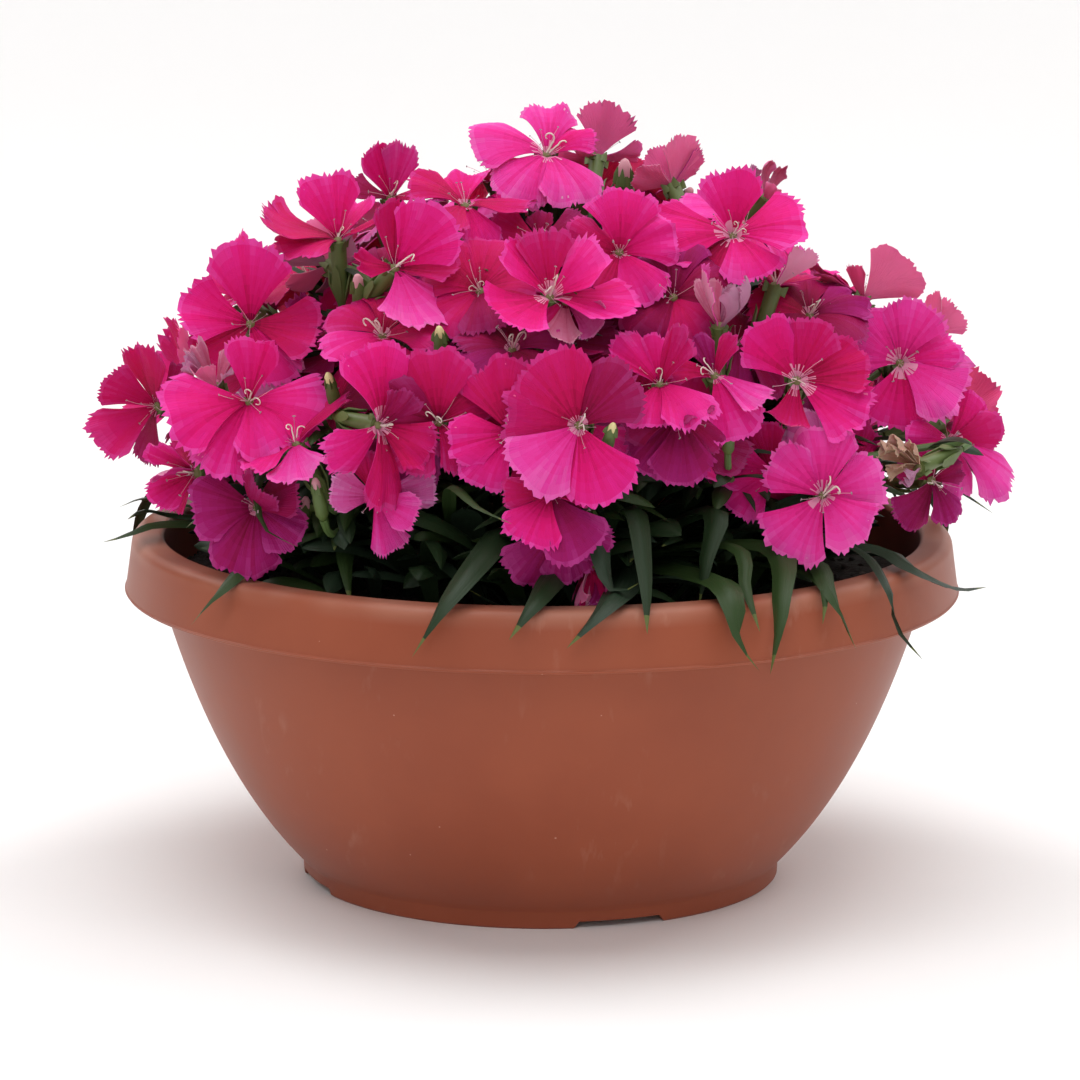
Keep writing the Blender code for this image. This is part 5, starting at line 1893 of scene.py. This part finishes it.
# Leaves seen over the rim: (turn, radius, height) from where each comes into sight to its tip, and width
seenLeaves = {
    "farLeft": ([(-86, 100, 104), (-80, 110, 108), (-74, 119, 108)], 3.4),
    "farLeftLow": ([(-86, 100, 101), (-79, 110, 105), (-73, 117, 105)], 3.2),
    "leftOverRim": ([(-87, 90, 98), (-79, 108, 101), (-77, 116, 99), (-79, 122, 96.5)], 7.5),
    "leftFront": ([(-48, 98, 101), (-46, 116.5, 95), (-50, 120, 85)], 5.6),
    "insideLeft": ([(-46, 70, 104), (-36, 88, 103), (-31, 97, 92)], 6.5),
    "longDiagonal": ([(-7, 86, 112), (-12, 115, 99.5), (-16, 120, 85)], 8.2),
    "smallCurl": ([(-3, 88, 91), (-7, 97, 95), (-11, 102, 100)], 4.0),
    "besideCurl": ([(4, 92, 104), (-1, 113.5, 98.5), (-4, 119.5, 90.5)], 7.4),
    "frontBroad": ([(14, 88, 99), (9, 112, 99), (3, 120, 88.5)], 8.6),
    "hookedFront": ([(9, 94, 113), (9, 106, 103), (10.5, 109, 100.5), (13.5, 110, 103.5)], 6.8),
    "frontUpright": ([(15, 92, 119), (14, 109, 105), (13, 119, 91.5)], 6.2),
    "insideRight": ([(29, 90, 117), (25, 100, 106), (23.5, 101, 92.5)], 7.2),
    "slimRight": ([(31, 95, 108), (28.5, 110, 99.5), (28, 119, 90)], 5.0),
    "paleBlotched": ([(26, 96, 101), (25, 115, 99), (25, 119.5, 88), (27.5, 121, 80)], 9.6),
    "rightLong": ([(38, 96, 107), (32, 116, 96.5), (29, 121, 79)], 7.0),
    "rightTrail": ([(44, 96, 103), (40, 116, 97), (43, 120, 81.5)], 6.0),
    "rightTrailBehind": ([(43, 94, 100), (40, 113.5, 98), (38, 118, 89.5)], 5.0),
    "rightThread": ([(59, 94, 102), (51, 116, 96.5), (51, 120, 85), (55.5, 122, 75)], 3.4),
    "rightHooked": ([(62, 98, 101), (58, 116, 97.5), (64, 122, 91), (72, 126, 88.5)], 5.8),
    "rightHigh": ([(86, 98, 113), (78, 112, 114), (75, 126, 107.5)], 3.6),
    "acrossLowBloom": ([(-47, 97, 124), (-42, 109, 113), (-34, 112.5, 109)], 2.8),
    "betweenLowBlooms": ([(-15, 92, 124), (-9, 106, 122), (-4, 112, 119)], 3.6),
}
leafRule = {
    "backLeaves": 24,
    "backTurns": (104, 256),
    "masses": 8,
    "massTurn": 22.5,
    "shoot": (62.0, 101.0),
    "shootRadii": (1.6, 1.0),
    "shootStart": (30, 93),  # radius and height that each shoot leaves the crown's knob towards
    "rise": (84.0, 106.0),
    "arch": (113.0, 108.5),
    "innerRise": (70.0, 104.0),
    "innerArch": (86.0, 112.0),
    "innerLeaves": 5,
    # Spread of the turn, radius and height of the tip, spread of the root's turn, width
    "back": ((-4, 4), (117, 120.5), (78, 95), (-14, 14), (5.5, 9.5)),
    "inner": ((-3, 3), (82, 101), (101, 112), (-10, 10), (5, 8)),
    "roots": 7,
    "points": 18,
    "tiers": (  # count, root radius, tip radius, tip height, arch height, width
        (90, (10, 40), (40, 78), (108, 134), (4, 14), (5, 8)),
        (150, (30, 72), (78, 99), (94, 122), (8, 20), (5.5, 9)),
        (80, (55, 85), (90, 101), (92, 112), (6, 14), (4.5, 8)),
    ),
    "stalkLeafLengths": (24, 38),
    "stalkLeafWidths": (3.6, 5.6),
    "stalkLeafDroop": 6.0,
    "stalkLeafShares": (0.3, 0.62),  # where along the stalk its pairs of leaves stand
    "stalkLeafSpread": (0.5, 1.3),
    "stalkLeafRise": (-0.3, 0.5),
    "rimZone": (101, 116.2),  # between these radii a leaf has to pass over the rim
    "rimClear": 0.9,
    "thicketSeed": 3,
    "stalkLeafSeed": 13,
}
leafTints = {
    "darkLeaf": (0.016, 0.034, 0.012),
    "freshLeaf": (0.029, 0.057, 0.015),
    "blueLeaf": (0.023, 0.042, 0.023),
    "leafTip": (0.11, 0.13, 0.035),
}


def leafRows(rng):
    first, last = leafRule["backTurns"]
    back, inner = leafRule["backLeaves"], leafRule["masses"] * leafRule["innerLeaves"]
    leaves = [(first + i * (last - first) / (back - 1), leafRule["back"]) for i in range(back)]
    leaves += [((i + 0.5) * 360 / inner, leafRule["inner"]) for i in range(inner)]
    rows = []
    for turn, (spread, radius, height, rootSpread, width) in leaves:
        turn += rng.uniform(*spread)
        tip = (turn, rng.uniform(*radius), rng.uniform(*height))
        rows.append((*tip, turn + rng.uniform(*rootSpread), rng.uniform(*width)))
    return rows


def leafPath(root, lift, row):
    tipTurn, tipRadius, tipHeight, rootTurn, _ = row
    tip = around(tipTurn, tipRadius, tipHeight)
    if tipRadius > bowl["rimRadius"]:
        rise = around(rootTurn, leafRule["rise"][0], leafRule["rise"][1] + lift)
        over = around((tipTurn * 2 + rootTurn) / 3, leafRule["arch"][0], leafRule["arch"][1] + lift)
    else:
        rise = around(rootTurn, leafRule["innerRise"][0], leafRule["innerRise"][1] + lift)
        over = around((tipTurn + rootTurn) / 2, leafRule["innerArch"][0], leafRule["innerArch"][1] + lift)
    last = leafRule["points"] - 1
    return [bezier([root, rise, over, over.lerp(tip, 0.5), tip], i / last) for i in range(last + 1)]


def smoothPath(points, count):  # a curve through the points, at even steps of its length
    ends = [points[0] * 2 - points[1], *points, points[-1] * 2 - points[-2]]
    fine = []
    for i in range(len(points) - 1):
        a, b, c, d = ends[i : i + 4]
        for k in range(12):
            t = k / 12
            spot = b * 2 + (c - a) * t + (a * 2 - b * 5 + c * 4 - d) * t * t
            fine.append((spot + (b * 3 - a - c * 3 + d) * t**3) / 2)
    fine.append(points[-1])
    lengths = np.concatenate([[0], np.cumsum([(q - p).length for p, q in zip(fine, fine[1:])])])
    spots = np.array([list(spot) for spot in fine])
    wanted = np.linspace(0, lengths[-1], count)
    even = np.stack([np.interp(wanted, lengths, spots[:, k]) for k in range(3)], 1)
    return [Vector(row) for row in even.tolist()]


def clearOfRim(path):
    inner, outer = leafRule["rimZone"]
    height = bowl["rimTop"] + leafRule["rimClear"]
    return not any(inner < math.hypot(spot.x, spot.y) < outer and spot.z < height for spot in path)


def sectionMesh():  # half width 1: a shallow fold, thin towards its edges
    top = [(-1, 0.2), (-0.5, 0.07), (0, -0.14), (0.5, 0.07), (1, 0.2)]
    under = [(0.5, -0.02), (0, -0.27), (-0.5, -0.02)]
    points = [(x * mm, y * mm, 0) for x, y in top + under]
    mesh = bpy.data.meshes.new("leafSection")
    mesh.from_pydata(points, [(i, (i + 1) % len(points)) for i in range(len(points))], [])
    mesh.attributes.new("sideways", "FLOAT", "POINT").data.foreach_set("value", [p[0] / mm for p in points])
    return mesh


def sweepStraps(name, leaves, finishes, tipShare):  # leaves: path, width, tint and roll at the tip
    points, edges, half, along, tints, rolls = [], [], [], [], [], []
    for path, width, tint, roll in leaves:
        edges += [(len(points) + i, len(points) + i + 1) for i in range(len(path) - 1)]
        points += path
        for i in range(len(path)):
            share = i / (len(path) - 1)
            taper = max(0.0, (share - 0.55) / 0.45)
            half.append(width / 2 * min(1.0, 0.4 + 1.5 * share) * (1 - taper**1.9) + 0.04)
            along.append(share)
            tints.append(tint)
            rolls.append(roll * share)
    draft = draftMesh(points, edges, half=half, along=along, tint=tints, roll=rolls)
    section = bpy.data.objects.new("leafSection", sectionMesh())
    values = {"Section": section, "Tip Share": tipShare}
    values |= {tint + " Finish": finish for tint, finish in zip(("Dark", "Fresh", "Blue", "Tip"), finishes)}
    mesh = runTree(name, draft, strapTree, values)
    bpy.data.objects.remove(section)
    pointOutwards(mesh)
    count = len(mesh.vertices)
    alongs, sides = np.zeros(count), np.zeros(count)
    mesh.attributes["along"].data.foreach_get("value", alongs)
    mesh.attributes["sideways"].data.foreach_get("value", sides)
    corner = np.zeros(len(mesh.loops), int)
    mesh.loops.foreach_get("vertex_index", corner)
    ownMap = mesh.uv_layers.new(name="leafMap")
    ownMap.data.foreach_set("uv", np.stack([sides[corner], alongs[corner]], 1).ravel())
    smooth(mesh, 75)
    return mesh


def makeLeafFinishes():
    gloss = {"Specular_IOR_Level": 0.28}
    return [
        ribbedFinish(name, colour, "leafMap", 9.0, 1.5, (0.4, 0.56), 0.3, **gloss)
        for name, colour in leafTints.items()
    ]


def makeBasalLeaves(finishes, green):
    rng = random.Random(bloomRule["seed"])
    turns = [leafRule["massTurn"] + k * 360 / leafRule["masses"] for k in range(leafRule["masses"])]
    shoots = []
    for turn in turns:
        away = (around(turn, *leafRule["shootStart"]) - crownKnob).normalized()
        root = crownKnob + away * (crown["knobRadius"] + boughs["gap"])
        shoots.append([root, root + away * 16, around(turn, *leafRule["shoot"])])
    paths = [[bezier(shoot, i / 9) for i in range(10)] for shoot in shoots]
    stems = [(path, jointedRadii(path, leafRule["shootRadii"])) for path in paths]
    mesh = sweepStems("leafShoots", stems, 7, green)
    addPiece("leafShoots", mesh, [])

    def rootOf(turn, number):
        gaps = [abs((turn - own + 180) % 360 - 180) for own in turns]
        shoot = shoots[gaps.index(min(gaps))]
        return shoot[1].lerp(shoot[2], 1 - 0.8 * (number % leafRule["roots"]) / leafRule["roots"])

    leaves = []
    for number, (spots, width) in enumerate(seenLeaves.values()):
        root = rootOf(spots[0][0], number)
        path = smoothPath([root] + [around(*spot) for spot in spots], leafRule["points"])
        leaves.append((path, width, rng.choice((0, 1, 1, 2)), rng.uniform(-0.5, 0.5)))
    for number, row in enumerate(leafRows(rng)):
        for lift in range(0, 12, 2):
            path = leafPath(rootOf(row[3], number), lift, row)
            if clearOfRim(path):
                break
        leaves.append((path, row[4], rng.choice((0, 0, 1, 2)), rng.uniform(-0.7, 0.7)))
    mesh = sweepStraps("basalLeaves", leaves, finishes, 0.965)
    addPiece("basalLeaves", mesh, [], nodesCalled("leaves_"))


def makeThicket(finishes):  # the dense dark leaves inside
    rng = random.Random(leafRule["thicketSeed"])
    leaves = []
    for count, rootRadius, tipRadius, tipHeight, archHeight, width in leafRule["tiers"]:
        for i in range(count):
            turn = i * goldenAngle + rng.uniform(-5, 5)
            root = around(turn + rng.uniform(-25, 25), rng.uniform(*rootRadius), compost["top"] + 1)
            tip = around(turn, rng.uniform(*tipRadius), rng.uniform(*tipHeight))
            arch = root.lerp(tip, 0.6) + Vector((0, 0, rng.uniform(*archHeight)))
            path = [bezier([root, arch, arch.lerp(tip, 0.7), tip], k / 11) for k in range(12)]
            # Most take the dark green, as painted shade for the crowded inside of the plant
            leaves.append((path, rng.uniform(*width), rng.choice((0, 0, 0, 1, 2)), rng.uniform(-1.2, 1.2)))
    mesh = sweepStraps("thicketLeaves", leaves, finishes, 0.97)
    addPiece("thicketLeaves", mesh, [])


def makeStalkLeaves(stalkPaths, finishes):  # a pair at each joint of a flower's stalk
    rng = random.Random(leafRule["stalkLeafSeed"])
    leaves = []
    for path in stalkPaths:
        for share in leafRule["stalkLeafShares"]:
            spot = path[round(share * (len(path) - 1))]
            out = (spot - domeCentre).normalized()
            side = out.cross(Vector((0, 0, 1)))
            for way in (-1, 1):
                lean = out + side * way * rng.uniform(*leafRule["stalkLeafSpread"])
                lean += Vector((0, 0, rng.uniform(*leafRule["stalkLeafRise"])))
                reach = lean.normalized() * rng.uniform(*leafRule["stalkLeafLengths"]) * (1.15 - share)
                ends = [spot, spot + reach * 0.6, spot + reach - Vector((0, 0, leafRule["stalkLeafDroop"]))]
                leaf = [bezier(ends, k / 8) for k in range(9)]
                width = rng.uniform(*leafRule["stalkLeafWidths"])
                leaves.append((leaf, width, rng.choice((0, 1, 2)), rng.uniform(-0.8, 0.8)))
    mesh = sweepStraps("stalkLeaves", leaves, finishes, 0.95)
    addPiece("stalkLeaves", mesh, [])


makeCamera()
makeStudio()
print("camera and studio are set")
makeBowl()
bedMesh, soilFinish = makeCompost()
makeCrumbs(bedMesh, soilFinish)
print("bowl is filled")
stemGreen = grainyFinish("stemGreen", boughs["colour"], 450.0, (0.45, 0.6), 0.3)
makeCrown()
makeMainStems(stemGreen)
allBlooms = settleBlooms()
allBuds = budRows(allBlooms)
stalkPaths = makeStalks(allBlooms, allBuds, stemGreen)
makePetals(allBlooms)
makeFlowerHearts(allBlooms)
makeBuds(allBuds)
print("blooms are open")
leafFinishes = makeLeafFinishes()
makeBasalLeaves(leafFinishes, stemGreen)
makeThicket(leafFinishes)
makeStalkLeaves(stalkPaths, leafFinishes)
print("leaves are grown")
